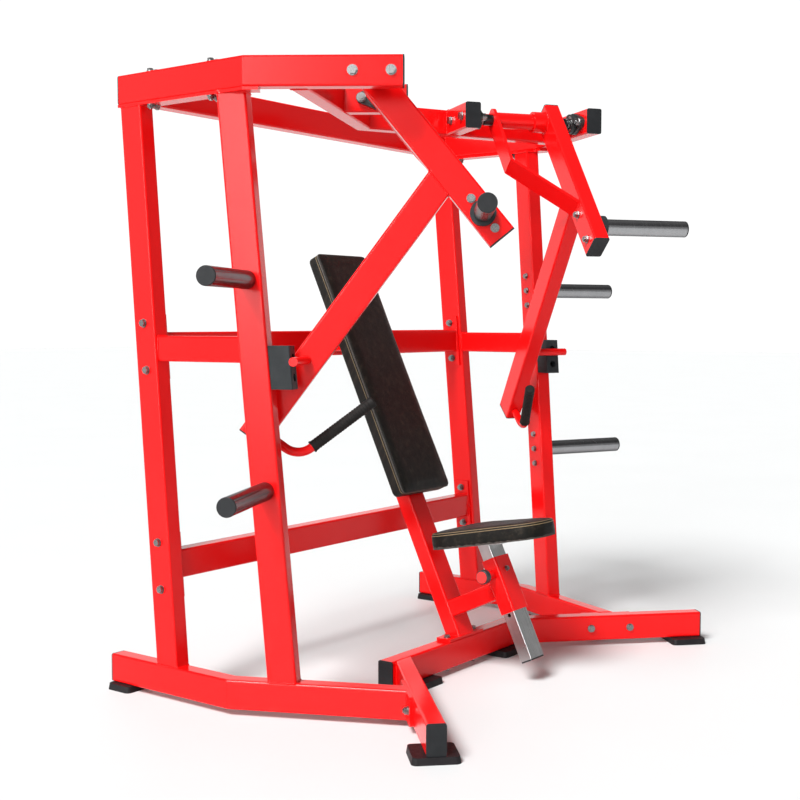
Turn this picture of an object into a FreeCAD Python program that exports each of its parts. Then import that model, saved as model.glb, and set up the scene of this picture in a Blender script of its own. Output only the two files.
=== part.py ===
import FreeCAD
import Part
import math
import os

# Plate-loaded wide chest press. X is across the machine, -Y is its front, Z = 0 is the floor.
# The machine is symmetric about X = 0. "left" is -X and "right" is +X, as seen from the front.

# Driving dimensions, in millimetres and degrees
TUBE_HEIGHT = 80.0
TUBE_WIDTH = 50.0
TUBE_WALL = 3.0
TUBE_CORNER = 6.0
FOOT_HEIGHT = 18.0
FOOT_TAPER = 6.0
FOOT_CORNER = 14.0
REAR_FOOT = (92.0, 90.0)
REAR_FOOT_Y = 531.0
LEG_FOOT = (122.0, 114.0)
LEG_FOOT_SETBACK = 50.0
TUBE_FOOT = (120.0, 120.0)
TUBE_FOOT_X = 228.0
CAP_FLANGE = 4.0
CAP_PLUG = 18.0
PLUG_GAP = 0.5

BASE_HALF_WIDTH = 777.0
BASE_REAR_Y = 577.0
BASE_BEND_Y = 120.0
BASE_SPLAY = 25.0

TOP_HALF_WIDTH = 770.0
TOP_RAIL_Z = 1650.0
TOP_REAR_Y = 528.0
TOP_BEND_Y = 53.0
TOP_SPLAY = 35.2
TOP_FRONT_RUN = 415.0
TOP_PLATE = 8.0

REAR_UPRIGHT_Y_LOW = 350.0
REAR_UPRIGHT_Y_HIGH = 479.5
FRONT_UPRIGHT_RUN = 153.0
FRONT_UPRIGHT_TOP = (757.0, 107.0)

FRONT_TUBE_HALF = 375.0
FRONT_TUBE_Y = -129.5
LEG_START_X = 321.0
LEG_SPLAY = 45.9
LEG_LENGTH = 595.0
LEG_PLATE = 10.0
LEG_PLATE_LENGTH = 176.0
LEG_PLATE_HEIGHT = 76.0

LOWER_BEAM_Z = 335.0
MIDDLE_BEAM_Z = 940.0
BEAM_PLATE = 8.0
BEAM_PLATE_HEIGHT = 180.0
BEAM_PLATE_WIDTH = 60.0
BEAM_BOLT_OFFSET = 65.0
BRACE_Z = 940.0
BRACE_HEIGHT = 70.0
BRACE_WIDTH = 40.0
VEE_ANGLE = 24.9
VEE_APEX_Y = 240.0

INNER_BEAM_GAP = 415.0
PIVOT_RUN = 332.0
PIVOT_Z = 1690.0
ARM_GAP = 114.0
WEIGHT_ANGLE = 50.8
WEIGHT_ABOVE = 43.0
WEIGHT_BELOW = 541.0
PRESS_ANGLE = 53.5
PRESS_JOIN = 311.0
PRESS_LENGTH = 889.0
SHAFT_RADIUS = 17.5
JOURNAL_RADIUS = 12.5
HORN_RADIUS = 25.0
HORN_LENGTH = 302.0
HORN_PLACE = 457.0
HORN_BOLT_OFFSET = 50.5
STORAGE_LENGTH = 304.0
STORAGE_HEIGHTS = (605.0, 1158.0)
STORAGE_BOLT_PITCH = 51.0
BEARING_BOLT_OFFSET = 49.5
STOP_Z = 929.0
STOP_PIN_Z = 944.0
STOP_DEPTH = 60.0
STOP_HEIGHT = 114.0
PIN_RADIUS = 12.0

SEAT_LEAN = 25.0
POST_Y = -134.0
POST_TOP_Z = 1085.0
POST_START = -60.0
SEAT_POST_REACH = 200.0
SLEEVE_Y = -278.0
SLEEVE_REFERENCE_Z = 300.0
SLEEVE_TOP_Z = 360.0
SLEEVE_BOTTOM_Z = 210.0
SEAT_POST_DEPTH = 40.0
SEAT_POST_WIDTH = 70.0
SEAT_POST_BOTTOM_Z = 78.0
SEAT_HOLE_PITCH = 32.0
SEAT_HOLES = 5
SEAT_REAR_Y = -73.0
SEAT_LENGTH = 339.0
SEAT_REAR_Z = 424.4
SEAT_TILT = 10.0
SEAT_REAR_WIDTH = 331.0
SEAT_FRONT_WIDTH = 142.0
SEAT_REAR_CORNER = 53.0
SEAT_FRONT_CORNER = 76.0
SEAT_PAD = 39.0
BOARD = 11.0
BOARD_INSET = 2.0
BACK_WIDTH = 246.0
BACK_LENGTH = 804.0
BACK_PAD = 42.0
BACK_BOTTOM_Z = 536.4
BACK_CORNER = 10.0
POST_PLATE_WIDTH = 184.0
POST_BOLT_X = 70.0
BRACKET_RISE = 96.0
SEAT_PLATE = 6.0
SEAT_PLATE_RUN = 135.0
SEAT_PLATE_WIDTH = 120.0
SEAT_PLATE_LENGTH = 150.0
SEAT_PLATE_CORNER = 8.0

SLIDE_GAP = 0.1
RUNNING_GAP = 0.05
THREAD_GAP = 0.02
STAY_SIZE = 50.0
PIN_UP = 20.6
LOCK_RADIUS = 5.0
LOCK_HOLE_GAP = 0.4
LOCK_COLLAR = 8.8
BARREL_RADIUS = 13.0
BARREL_BORE = 9.4
BARREL_LENGTH = 28.0
BARREL_FLOOR = 2.0
BARREL_LID = 3.0
KNOB_RADIUS = 20.8
KNOB_START = 40.0
KNOB_LENGTH = 20.0
KNOB_NECK = 9.0
KNOB_NECK_LENGTH = 10.0
KNOB_CAP_RADIUS = 17.0
KNOB_CAP_LENGTH = 3.5
PIN_LENGTH = 50.0
PIN_NOSE = 4.5
KNOB_ROUND = 3.0
KNOB_CAP_SINK = 2.0
SPRING_SEAT = 5.0
SPRING_PITCH = 3.0
SPRING_LENGTH = 17.0
SPRING_RADIUS = 7.2
SPRING_WIRE = 0.5

BEARING_FLANGE = 14.0
BEARING_BOSS = 27.0
BEARING_CENTRE_RADIUS = 34.0
BEARING_EAR_RADIUS = 15.5
BEARING_BOSS_RADIUS = 31.0
INSERT_RADIUS = 26.0
INSERT_IN = 3.0
INSERT_OUT = 25.0
INSERT_NOSE = 35.0
SEAL_RADIUS = 22.0
SEAL_DEPTH = 2.0
JOURNAL_INSET = 2.0
SHOULDER_INSET = 42.0

STRAP_DEPTH = 340.0
STRAP_TOP = -34.0
STRAP_BEND = 205.0
STRAP_END = 374.0
STRAP_WIDTH = 60.0
STRAP_THICK = 10.0
STRAP_CORNER = 22.0
HUB_RADIUS = 25.0
BOSS_RADIUS = 33.0
BOSS_LENGTH = 42.0
COLLAR_RADIUS = 35.0
COLLAR_LENGTH = 20.0
HORN_WALL = 5.0
HORN_ROOT = 32.0
HORN_CAP = 5.0
HORN_CAP_ROUND = 2.0
HORN_RELIEF_RADIUS = 24.4
STORAGE_RELIEF = 3.0
CAP_GAP = 0.3

HANDLE_RADIUS = 12.5
HANDLE_BEND = 58.0
HANDLE_START = (40.0, 139.0, 744.0)
HANDLE_CORNER = (125.0, 139.0, 682.0)
GRIP_END = (326.0, 204.0, 831.0)
GRIP_START = 46.0
GRIP_RIM = 1.5
GRIP_RADIUS = 16.0
GRIP_ROUND = 6.0
GRIP_RIM_LENGTH = 5.0
GRIP_END_WALL = 4.0
STOP_BOLT_OFFSET = 26.0
STOP_BOLT_SEAT = 20.0
STOP_BOLT_TAIL = 8.0
STOP_COUNTERBORE = 11.0
STOP_CORNER = 4.0
STOP_PIN_OVERHANG = 18.0
STOP_PIN_CLEARANCE = 0.2

FRAME_BOLT = 6.0
SMALL_BOLT = 5.0
BEARING_BOLT = 7.0
SET_SCREW = 4.0
SET_SCREW_RISE = 25.0
SET_SCREW_REACH = 4.5
WASHER_THICK = 2.5
WASHER_RATIO = 2.0
HEAD_RATIO = 1.75
HEAD_HEIGHT_RATIO = 1.2
NUT_HEIGHT_RATIO = 1.5
TAIL_RATIO = 2.6
TOP_BOLT_Y = (409.0, 178.0)
TOP_BOLT_OFFSET = 12.0
HORN_BOLT_GRIP = 24.0
HORN_BOLT_TAIL = 15.0

Vector = FreeCAD.Vector
UP = Vector(0, 0, 1)
ACROSS = Vector(1, 0, 0)
FORWARD = Vector(0, -1, 0)
ORIGIN_SHIFT = Vector(0, 4.7, 0)


def plan_forward(splay):
    """Unit vector that runs to the front and turns in by the splay angle, right side."""
    angle = math.radians(splay)
    return Vector(-math.sin(angle), -math.cos(angle), 0)


def plan_outward(splay):
    """Unit normal of the same direction, pointing away from the machine, right side."""
    angle = math.radians(splay)
    return Vector(math.cos(angle), -math.sin(angle), 0)


def rounded_wire(centre, across, up, width, height, radius):
    """Closed outline of a rectangle with rounded corners, centred on a point."""
    edges = []
    corners = ((1, 1), (-1, 1), (-1, -1), (1, -1))
    last = None
    first = None
    for index, (a, b) in enumerate(corners):
        corner = centre + across * (a * width / 2) + up * (b * height / 2)
        pull_across = across * (-a * radius)
        pull_up = up * (-b * radius)
        steps = (pull_up, pull_across) if index % 2 == 0 else (pull_across, pull_up)
        start = corner + steps[0]
        end = corner + steps[1]
        middle = corner + (pull_across + pull_up) * (1 - math.sqrt(0.5))
        if last is None:
            first = start
        else:
            edges.append(Part.LineSegment(last, start).toShape())
        edges.append(Part.Arc(start, middle, end).toShape())
        last = end
    edges.append(Part.LineSegment(last, first).toShape())
    return Part.Wire(edges)


def bar(start, end, across, up, width=TUBE_WIDTH, height=TUBE_HEIGHT, corner=TUBE_CORNER):
    """Solid bar with a rounded rectangular section at the start point, swept straight to the end."""
    wire = rounded_wire(start, across, up, width, height, corner)
    return Part.Face(wire).extrude(end - start)


def tube(start, end, across, up, width=TUBE_WIDTH, height=TUBE_HEIGHT, wall=TUBE_WALL, corner=TUBE_CORNER):
    """Hollow tube between two points."""
    outside = bar(start, end, across, up, width, height, corner)
    inner_corner = max(corner - wall, 1.0)
    inside = bar(start, end, across, up, width - 2 * wall, height - 2 * wall, inner_corner)
    return outside.cut(inside)


def rod(start, end, radius):
    direction = end - start
    return Part.makeCylinder(radius, direction.Length, start, direction)


def ring(start, end, outer, inner):
    return rod(start, end, outer).cut(rod(start, end, inner))


def bolt_head(point, direction, radius, height):
    """Hexagon prism that stands on a point."""
    helper = UP if abs(direction.z) < 0.9 else ACROSS
    across = direction.cross(helper).normalize()
    other = direction.cross(across)
    points = []
    for step in range(7):
        angle = math.radians(60 * step)
        points.append(point + across * (radius * math.cos(angle)) + other * (radius * math.sin(angle)))
    return Part.Face(Part.makePolygon(points)).extrude(direction * height)


def hex_bolt(head_point, end_point, shank):
    """Hex bolt and its washer, from under its head to its end; the washer sits on the start point."""
    outward = (head_point - end_point).normalize()
    washer_top = head_point + outward * WASHER_THICK
    solid = rod(head_point, end_point, shank).fuse(rod(head_point, washer_top, shank * WASHER_RATIO))
    head = bolt_head(washer_top, outward, shank * HEAD_RATIO, shank * HEAD_HEIGHT_RATIO)
    return solid.fuse(head).removeSplitter()


def nut(point, direction, shank):
    """Hex nut with its washer, standing on a point and bored for the shank."""
    face = point + direction * WASHER_THICK
    body = bolt_head(face, direction, shank * HEAD_RATIO, shank * NUT_HEIGHT_RATIO)
    body = body.fuse(rod(point, face, shank * WASHER_RATIO))
    return body.cut(rod(point - direction, point + direction * shank * 4, shank + THREAD_GAP))


def plan_polygon(points, z_low, z_high):
    """Upright prism on a plan outline."""
    closed = [Vector(p.x, p.y, z_low) for p in points]
    closed.append(closed[0])
    return Part.Face(Part.makePolygon(closed)).extrude(UP * (z_high - z_low))


def meet(point_a, way_a, point_b, way_b):
    """Where two plan lines cross."""
    cross = way_a.x * way_b.y - way_a.y * way_b.x
    gap = point_b - point_a
    distance = (gap.x * way_b.y - gap.y * way_b.x) / cross
    return point_a + way_a * distance


def soften(solid, radius, least=90.0):
    """Round the long level edges of a bent rail."""
    chosen = []
    for edge in solid.Edges:
        ends = [vertex.Point for vertex in edge.Vertexes]
        if len(ends) == 2 and abs(ends[0].z - ends[1].z) < 0.01 and edge.Length > least:
            chosen.append(edge)
    return solid.makeFillet(radius, chosen)


def bent_rail(outer, inner, inset_outer, inset_inner, z_low):
    """Mitred rail: outer and inner plan lines, with its hollow inset by the wall."""
    solid = plan_polygon(outer + inner[::-1], z_low, z_low + TUBE_HEIGHT)
    solid = soften(solid, TUBE_CORNER)
    hollow = plan_polygon(inset_outer + inset_inner[::-1], z_low + TUBE_WALL, z_low + TUBE_HEIGHT - TUBE_WALL)
    return solid.cut(hollow)


def mirrored(shape):
    return shape.mirror(Vector(0, 0, 0), ACROSS)


def export(name, shape):
    """Write one node, moved so that the origin is at the middle of the overall depth."""
    shape.translated(ORIGIN_SHIFT).exportStep("parts/" + name + ".step")


def export_pair(name, shape):
    export("right_" + name, shape)
    export("left_" + name, mirrored(shape))


def both(shapes):
    """A list of right-hand solids together with their mirror images."""
    return list(shapes) + [mirrored(shape) for shape in shapes]


def export_group(name, solids):
    export(name, Part.makeCompound(solids))


def cap(end, outward, across, up, width=TUBE_WIDTH, height=TUBE_HEIGHT):
    """Plastic end cap: a flange on the tube's end and a plug inside it."""
    flange = bar(end, end + outward * CAP_FLANGE, across, up, width, height, TUBE_CORNER)
    plug_width = width - 2 * (TUBE_WALL + PLUG_GAP)
    plug_height = height - 2 * (TUBE_WALL + PLUG_GAP)
    plug = bar(end, end - outward * CAP_PLUG, across, up, plug_width, plug_height, TUBE_CORNER - TUBE_WALL)
    return flange.fuse(plug)


# Plan geometry of the right-hand side frame
base_way = plan_forward(BASE_SPLAY)
base_out = plan_outward(BASE_SPLAY)
top_way = plan_forward(TOP_SPLAY)
top_out = plan_outward(TOP_SPLAY)
leg_way = Vector(math.sin(math.radians(LEG_SPLAY)), -math.cos(math.radians(LEG_SPLAY)), 0)
leg_back = Vector(math.cos(math.radians(LEG_SPLAY)), math.sin(math.radians(LEG_SPLAY)), 0)
base_top_z = FOOT_HEIGHT + TUBE_HEIGHT
plate_low_z = TOP_RAIL_Z - TOP_PLATE
top_z = TOP_RAIL_Z + TUBE_HEIGHT

leg_start = Vector(LEG_START_X, FRONT_TUBE_Y, 0)
leg_end = leg_start + leg_way * LEG_LENGTH


def rail_lines(half_width, rear_y, bend_y, splay, end_point, end_way, inset):
    """Outer and inner plan points of a bent rail, moved inside its faces by an inset."""
    way = plan_forward(splay)
    out = plan_outward(splay)
    bend = Vector(half_width, bend_y, 0)
    lines = []
    for depth in (inset, TUBE_WIDTH - inset):
        straight = Vector(half_width - depth, rear_y, 0)
        slanted = bend - out * depth
        corner = meet(straight, FORWARD, slanted, way)
        lines.append([straight, corner, meet(slanted, way, end_point, end_way)])
    return lines


def make_base_rail():
    back_line = leg_start + leg_back * (TUBE_WIDTH / 2 + LEG_PLATE)
    rear = BASE_REAR_Y - CAP_FLANGE
    args = (rear, BASE_BEND_Y, BASE_SPLAY, back_line, leg_way)
    outer, inner = rail_lines(BASE_HALF_WIDTH, *args, 0.0)
    hollow_outer, hollow_inner = rail_lines(BASE_HALF_WIDTH, *args, TUBE_WALL)
    rail = bent_rail(outer, inner, hollow_outer, hollow_inner, FOOT_HEIGHT)
    middle = (outer[2] + inner[2]) * 0.5 + UP * (FOOT_HEIGHT + TUBE_HEIGHT / 2)
    plate = bar(middle - leg_back * LEG_PLATE, middle, leg_way, UP, LEG_PLATE_LENGTH, LEG_PLATE_HEIGHT, 8.0)
    return rail.fuse(plate), middle


def make_front_leg():
    """Splayed leg, its inner end cut to the front face of the base tube."""
    centre_z = FOOT_HEIGHT + TUBE_HEIGHT / 2
    start = leg_start - leg_way * 60 + UP * centre_z
    end = leg_end - leg_way * CAP_FLANGE + UP * centre_z
    leg = tube(start, end, leg_back, UP)
    behind = Part.makeBox(900, 300, 300, Vector(0, FRONT_TUBE_Y, -50))
    return leg.cut(behind)


def upright_line(bottom, top):
    """Function of height for a point on a leaning upright."""
    def at(z):
        share = (z - bottom.z) / (top.z - bottom.z)
        return bottom + (top - bottom) * share
    return at


rear_low = Vector(BASE_HALF_WIDTH, REAR_UPRIGHT_Y_LOW, base_top_z)
rear_high = Vector(TOP_HALF_WIDTH, REAR_UPRIGHT_Y_HIGH, plate_low_z)
rear_upright_at = upright_line(rear_low, rear_high)
front_low = Vector(BASE_HALF_WIDTH, BASE_BEND_Y, base_top_z) + base_way * FRONT_UPRIGHT_RUN
front_high = Vector(FRONT_UPRIGHT_TOP[0], FRONT_UPRIGHT_TOP[1], plate_low_z)
front_upright_at = upright_line(front_low, front_high)
half_in_x = ACROSS * (-TUBE_WIDTH / 2)
half_in_base = base_out * (-TUBE_WIDTH / 2)


def rear_upright_bar(maker):
    return maker(rear_low + half_in_x, rear_high + half_in_x, ACROSS, FORWARD)


def front_upright_bar(maker):
    return maker(front_low + half_in_base, front_high + half_in_base, base_out, base_way)


def make_side_brace():
    middle_z = BRACE_Z + BRACE_HEIGHT / 2
    start = rear_upright_at(middle_z) + half_in_x
    end = front_upright_at(middle_z) + half_in_base
    way = (end - start).normalize()
    across = way.cross(UP).normalize()
    brace = tube(start, end, across, UP, BRACE_WIDTH, BRACE_HEIGHT)
    return brace.cut(rear_upright_bar(bar)).cut(front_upright_bar(bar))


def make_cross_beam(low_z):
    """Rear cross beam with a bolted vertical plate on each end."""
    middle_z = low_z + TUBE_HEIGHT / 2
    face = rear_upright_at(middle_z)
    inner_x = face.x - TUBE_WIDTH
    lean = (rear_high - rear_low).normalize()
    start = Vector(-inner_x + BEAM_PLATE, face.y, middle_z)
    end = Vector(inner_x - BEAM_PLATE, face.y, middle_z)
    beam = tube(start, end, FORWARD, UP)
    plate_centre = end + ACROSS * ((BEAM_PLATE + 1.0) / 2)
    half_plate = lean * (BEAM_PLATE_HEIGHT / 2)
    plate = bar(plate_centre - half_plate, plate_centre + half_plate,
                FORWARD, ACROSS, BEAM_PLATE_WIDTH, BEAM_PLATE + 1.0, 1.0)
    plate = plate.cut(rear_upright_bar(bar))
    holes = [plate_centre + lean * (side * BEAM_BOLT_OFFSET) for side in (-1, 1)]
    beam = beam.fuse(plate).fuse(mirrored(plate))
    return beam.removeSplitter(), holes


def vee_edge(depth):
    """Apex point of the top vee's plan line, at a depth behind its front face."""
    return Vector(0, VEE_APEX_Y + depth / math.cos(math.radians(VEE_ANGLE)), 0)


vee_way = Vector(math.cos(math.radians(VEE_ANGLE)), -math.sin(math.radians(VEE_ANGLE)), 0)
top_bend = Vector(TOP_HALF_WIDTH, TOP_BEND_Y, 0)


def make_top_vee():
    rail_face = top_bend - top_out * TUBE_WIDTH
    solids = []
    for depth in (0.0, TUBE_WALL):
        front_apex = vee_edge(depth)
        rear_apex = vee_edge(TUBE_WIDTH - depth)
        front_end = meet(front_apex, vee_way, rail_face, top_way)
        rear_end = meet(rear_apex, vee_way, rail_face, top_way)
        left_rear = Vector(-rear_end.x, rear_end.y, 0)
        left_front = Vector(-front_end.x, front_end.y, 0)
        outline = [front_apex, front_end, rear_end, rear_apex, left_rear, left_front]
        solids.append(plan_polygon(outline, TOP_RAIL_Z + depth, top_z - depth))
    return soften(solids[0], TUBE_CORNER).cut(solids[1])


def make_inner_beam():
    """Short beam from the vee to the inner bearing, level with the front of the top rail."""
    front_apex = vee_edge(0.0)
    outlines = []
    for inset in (0.0, TUBE_WALL):
        points = []
        for gap in (INNER_BEAM_GAP + inset, INNER_BEAM_GAP + TUBE_WIDTH - inset):
            line = top_bend - top_out * gap
            end = line + top_way * (TOP_FRONT_RUN - CAP_FLANGE)
            points.append([meet(line, top_way, front_apex, vee_way), end])
        outlines.append([points[0][0], points[0][1], points[1][1], points[1][0]])
    solid = soften(plan_polygon(outlines[0], TOP_RAIL_Z, top_z), TUBE_CORNER)
    return solid.cut(plan_polygon(outlines[1], TOP_RAIL_Z + TUBE_WALL, top_z - TUBE_WALL))


def make_top_rail():
    end = top_bend + top_way * (TOP_FRONT_RUN - CAP_FLANGE)
    args = (TOP_REAR_Y - CAP_FLANGE, TOP_BEND_Y, TOP_SPLAY, end, top_out)
    outer, inner = rail_lines(TOP_HALF_WIDTH, *args, 0.0)
    hollow_outer, hollow_inner = rail_lines(TOP_HALF_WIDTH, *args, TUBE_WALL)
    return bent_rail(outer, inner, hollow_outer, hollow_inner, TOP_RAIL_Z)


def make_top_plate():
    """Flat plate that joins the two uprights' tops and bolts up under the top rail."""
    end = top_bend + top_way * 40.0
    args = (TOP_REAR_Y, TOP_BEND_Y, TOP_SPLAY, end, top_out)
    outer, inner = rail_lines(TOP_HALF_WIDTH, *args, 0.0)
    plate = plan_polygon(outer + inner[::-1], plate_low_z, TOP_RAIL_Z)
    corner = front_high + half_in_base
    seat = bar(corner, corner + UP * TOP_PLATE, base_out, base_way, TUBE_WIDTH, TUBE_HEIGHT, 4.0)
    return plate.fuse(seat).removeSplitter()


# Fasteners: each row of the frame's bolts is (head point, end point, shank radius)
frame_bolts = []
frame_nuts = []
drill_holes = []


def add_bolt(head, way, grip, shank, with_nut=True, tail=0.0):
    """One right-hand frame bolt: its head on a face, its nut on the far face of what it clamps."""
    end = head + way * (grip + tail + (shank * TAIL_RATIO if with_nut else 0.0))
    frame_bolts.append(hex_bolt(head, end, shank))
    drill_holes.append(rod(head - way * 2, end + way * 0.5, shank + RUNNING_GAP))
    if with_nut:
        frame_nuts.append(nut(head + way * grip, way, shank))


def drilled(shape, holes=drill_holes):
    """Cut the clearance holes of every frame bolt that passes through a shape."""
    for hole in holes:
        if shape.BoundBox.intersect(hole.BoundBox):
            shape = shape.cut(hole)
    return shape


# Frame, right side first
base_rail, leg_plate_middle = make_base_rail()
front_leg = make_front_leg()
rear_upright = rear_upright_bar(tube)
front_upright = front_upright_bar(tube)
side_brace = make_side_brace()
top_rail = make_top_rail()
top_plate = make_top_plate()
top_vee = make_top_vee()
inner_beam = make_inner_beam()
lower_beam, lower_holes = make_cross_beam(LOWER_BEAM_Z)
middle_beam, middle_holes = make_cross_beam(MIDDLE_BEAM_Z)

tube_middle_z = FOOT_HEIGHT + TUBE_HEIGHT / 2
front_tube_centre = Vector(0, FRONT_TUBE_Y + TUBE_WIDTH / 2, tube_middle_z)
front_tube_end = front_tube_centre + ACROSS * (FRONT_TUBE_HALF - CAP_FLANGE)
front_tube = tube(mirrored(Part.Vertex(front_tube_end)).Point, front_tube_end, FORWARD, UP)

rear_beam_y = REAR_UPRIGHT_Y_HIGH
rear_beam_end = Vector(TOP_HALF_WIDTH - TUBE_WIDTH, rear_beam_y, TOP_RAIL_Z + TUBE_HEIGHT / 2)
rear_top_beam = tube(Vector(-rear_beam_end.x, rear_beam_y, rear_beam_end.z), rear_beam_end, FORWARD, UP)

# Bolts through the top rail and its plate, in two pairs
for bolt_y in TOP_BOLT_Y:
    for offset in (-TOP_BOLT_OFFSET, TOP_BOLT_OFFSET):
        head = Vector(TOP_HALF_WIDTH - TUBE_WIDTH / 2 + offset, bolt_y, top_z)
        add_bolt(head, UP * -1, TUBE_HEIGHT + TOP_PLATE, SMALL_BOLT)

# Bolts through the rear uprights and the plates of the two cross beams, square to the leaning faces
rear_face_in = (rear_high - rear_low).cross(FORWARD).normalize()
if rear_face_in.x > 0:
    rear_face_in = rear_face_in * -1
for holes in (lower_holes, middle_holes):
    for hole in holes:
        face_x = rear_upright_at(hole.z).x
        head = Vector(face_x, hole.y, hole.z)
        add_bolt(head, rear_face_in, TUBE_WIDTH + BEAM_PLATE, FRAME_BOLT)

# Bolts through the splayed legs into the base rails' end plates
for side in (-1, 1):
    back_face = leg_plate_middle + leg_way * (side * BEAM_BOLT_OFFSET) - leg_back * LEG_PLATE
    add_bolt(back_face - leg_back * TUBE_WIDTH, leg_back, TUBE_WIDTH + LEG_PLATE, FRAME_BOLT)

# Bolts of the storage horns, three to each, entered from the upright's inner face
front_lean = (front_high - front_low).normalize()
horn_bases = [front_upright_at(height) for height in STORAGE_HEIGHTS]
for base in horn_bases:
    for step in (-1, 0, 1):
        head = base - base_out * TUBE_WIDTH + front_lean * (step * STORAGE_BOLT_PITCH)
        reach = TUBE_WIDTH - 1.0 if step else TUBE_WIDTH + HORN_BOLT_GRIP
        add_bolt(head, base_out, reach, SMALL_BOLT, with_nut=False)

# Rubber stop block and its two bolts, on the front face of the front upright
stop_centre = front_upright_at(STOP_Z) + half_in_base + base_way * (TUBE_HEIGHT / 2)
stop_low = stop_centre - front_lean * (STOP_HEIGHT / 2)
stop_high = stop_centre + front_lean * (STOP_HEIGHT / 2)
stop_block = bar(stop_low + base_way * (STOP_DEPTH / 2), stop_high + base_way * (STOP_DEPTH / 2),
                 base_out, base_way, TUBE_WIDTH, STOP_DEPTH, STOP_CORNER)
for side in (-1, 1):
    hole = stop_centre + front_lean * (side * STOP_BOLT_OFFSET)
    seat = hole + base_way * STOP_BOLT_SEAT
    stop_block = stop_block.cut(rod(seat, seat + base_way * STOP_DEPTH, STOP_COUNTERBORE))
    add_bolt(seat, base_way * -1, STOP_BOLT_SEAT + TUBE_WALL, SMALL_BOLT, with_nut=False, tail=STOP_BOLT_TAIL)

# Foot plate and bolts of the leaning post
lean_angle = math.radians(SEAT_LEAN)
lean_up = Vector(0, math.sin(lean_angle), math.cos(lean_angle))
lean_front = Vector(0, -math.cos(lean_angle), math.sin(lean_angle))
post_face = Vector(0, POST_Y, base_top_z)
foot_plate_centre = Vector(0, FRONT_TUBE_Y + TUBE_WIDTH / 2, base_top_z)
foot_plate_top = foot_plate_centre + UP * BEAM_PLATE
foot_plate = bar(foot_plate_centre, foot_plate_top, ACROSS, FORWARD, POST_PLATE_WIDTH, TUBE_WIDTH, 4.0)
add_bolt(foot_plate_top + ACROSS * POST_BOLT_X, UP * -1, BEAM_PLATE + TUBE_HEIGHT, SMALL_BOLT)


def lean_bar(maker, low, high, depth_in, width, depth, **kwargs):
    """Bar along the seat's lean, between two distances up it, behind the post's front face."""
    start = post_face + lean_up * low - lean_front * depth_in
    end = post_face + lean_up * high - lean_front * depth_in
    return maker(start, end, ACROSS, lean_front, width, depth, **kwargs)


post_length = (POST_TOP_Z - base_top_z) / math.cos(lean_angle)
post_middle = TUBE_WIDTH / 2
below_plate = Part.makeBox(400, 600, 300, Vector(-200, -400, base_top_z + BEAM_PLATE - 300))
back_post = lean_bar(tube, POST_START, post_length, post_middle, TUBE_HEIGHT, TUBE_WIDTH).cut(below_plate)
stay_z = MIDDLE_BEAM_Z + TUBE_HEIGHT / 2
stay_start = post_face + lean_up * ((stay_z - base_top_z) / math.cos(lean_angle))
beam_face_y = rear_upright_at(stay_z).y - TUBE_WIDTH / 2
stay_end = Vector(0, beam_face_y, stay_z)
post_envelope = lean_bar(bar, POST_START, post_length, post_middle, TUBE_HEIGHT, TUBE_WIDTH)
stay_root = Vector(0, stay_start.y + TUBE_WIDTH / 2 / math.cos(lean_angle), stay_z)
post_stay = tube(stay_root, stay_end, ACROSS, UP, STAY_SIZE, STAY_SIZE).cut(post_envelope)
back_post = back_post.fuse(post_stay).fuse(foot_plate).removeSplitter()
post_cap = cap(post_face + lean_up * post_length - lean_front * post_middle, lean_up,
               ACROSS, lean_front, TUBE_HEIGHT, TUBE_WIDTH)

# Sleeve that holds the seat post, on an arm from the leaning post
sleeve_reference = Vector(0, SLEEVE_Y, SLEEVE_REFERENCE_Z)
sleeve_distance = (sleeve_reference - post_face).dot(lean_front)
sleeve_axis = sleeve_reference - lean_front * (TUBE_WIDTH / 2)
sleeve_top = (SLEEVE_TOP_Z - SLEEVE_REFERENCE_Z) / math.cos(lean_angle)
sleeve_bottom = (SLEEVE_BOTTOM_Z - SLEEVE_REFERENCE_Z) / math.cos(lean_angle)
sleeve_bore_width = SEAT_POST_WIDTH + 2 * SLIDE_GAP
sleeve_bore_depth = SEAT_POST_DEPTH + 2 * SLIDE_GAP
sleeve_outside = bar(sleeve_axis + lean_up * sleeve_bottom, sleeve_axis + lean_up * sleeve_top,
                     ACROSS, lean_front, TUBE_HEIGHT, TUBE_WIDTH)
sleeve_bore = bar(sleeve_axis + lean_up * (sleeve_bottom - 5), sleeve_axis + lean_up * (sleeve_top + 5),
                  ACROSS, lean_front, sleeve_bore_width, sleeve_bore_depth, 3.1)
bracket_start = post_face + lean_up * BRACKET_RISE
bracket_end = bracket_start + lean_front * (sleeve_distance - TUBE_WIDTH)
bracket_arm = tube(bracket_start, bracket_end, ACROSS, lean_up, TUBE_HEIGHT, TUBE_WIDTH)
seat_bracket = bracket_arm.fuse(sleeve_outside).cut(sleeve_bore).removeSplitter()

# Spring-loaded lock pin on the left wall of the sleeve
pin_line = sleeve_axis + lean_up * PIN_UP
sleeve_side = TUBE_HEIGHT / 2


def on_pin(x):
    """Point on the lock pin's axis, at a distance to the left of the machine's middle."""
    return Vector(-x, pin_line.y, pin_line.z)


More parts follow.
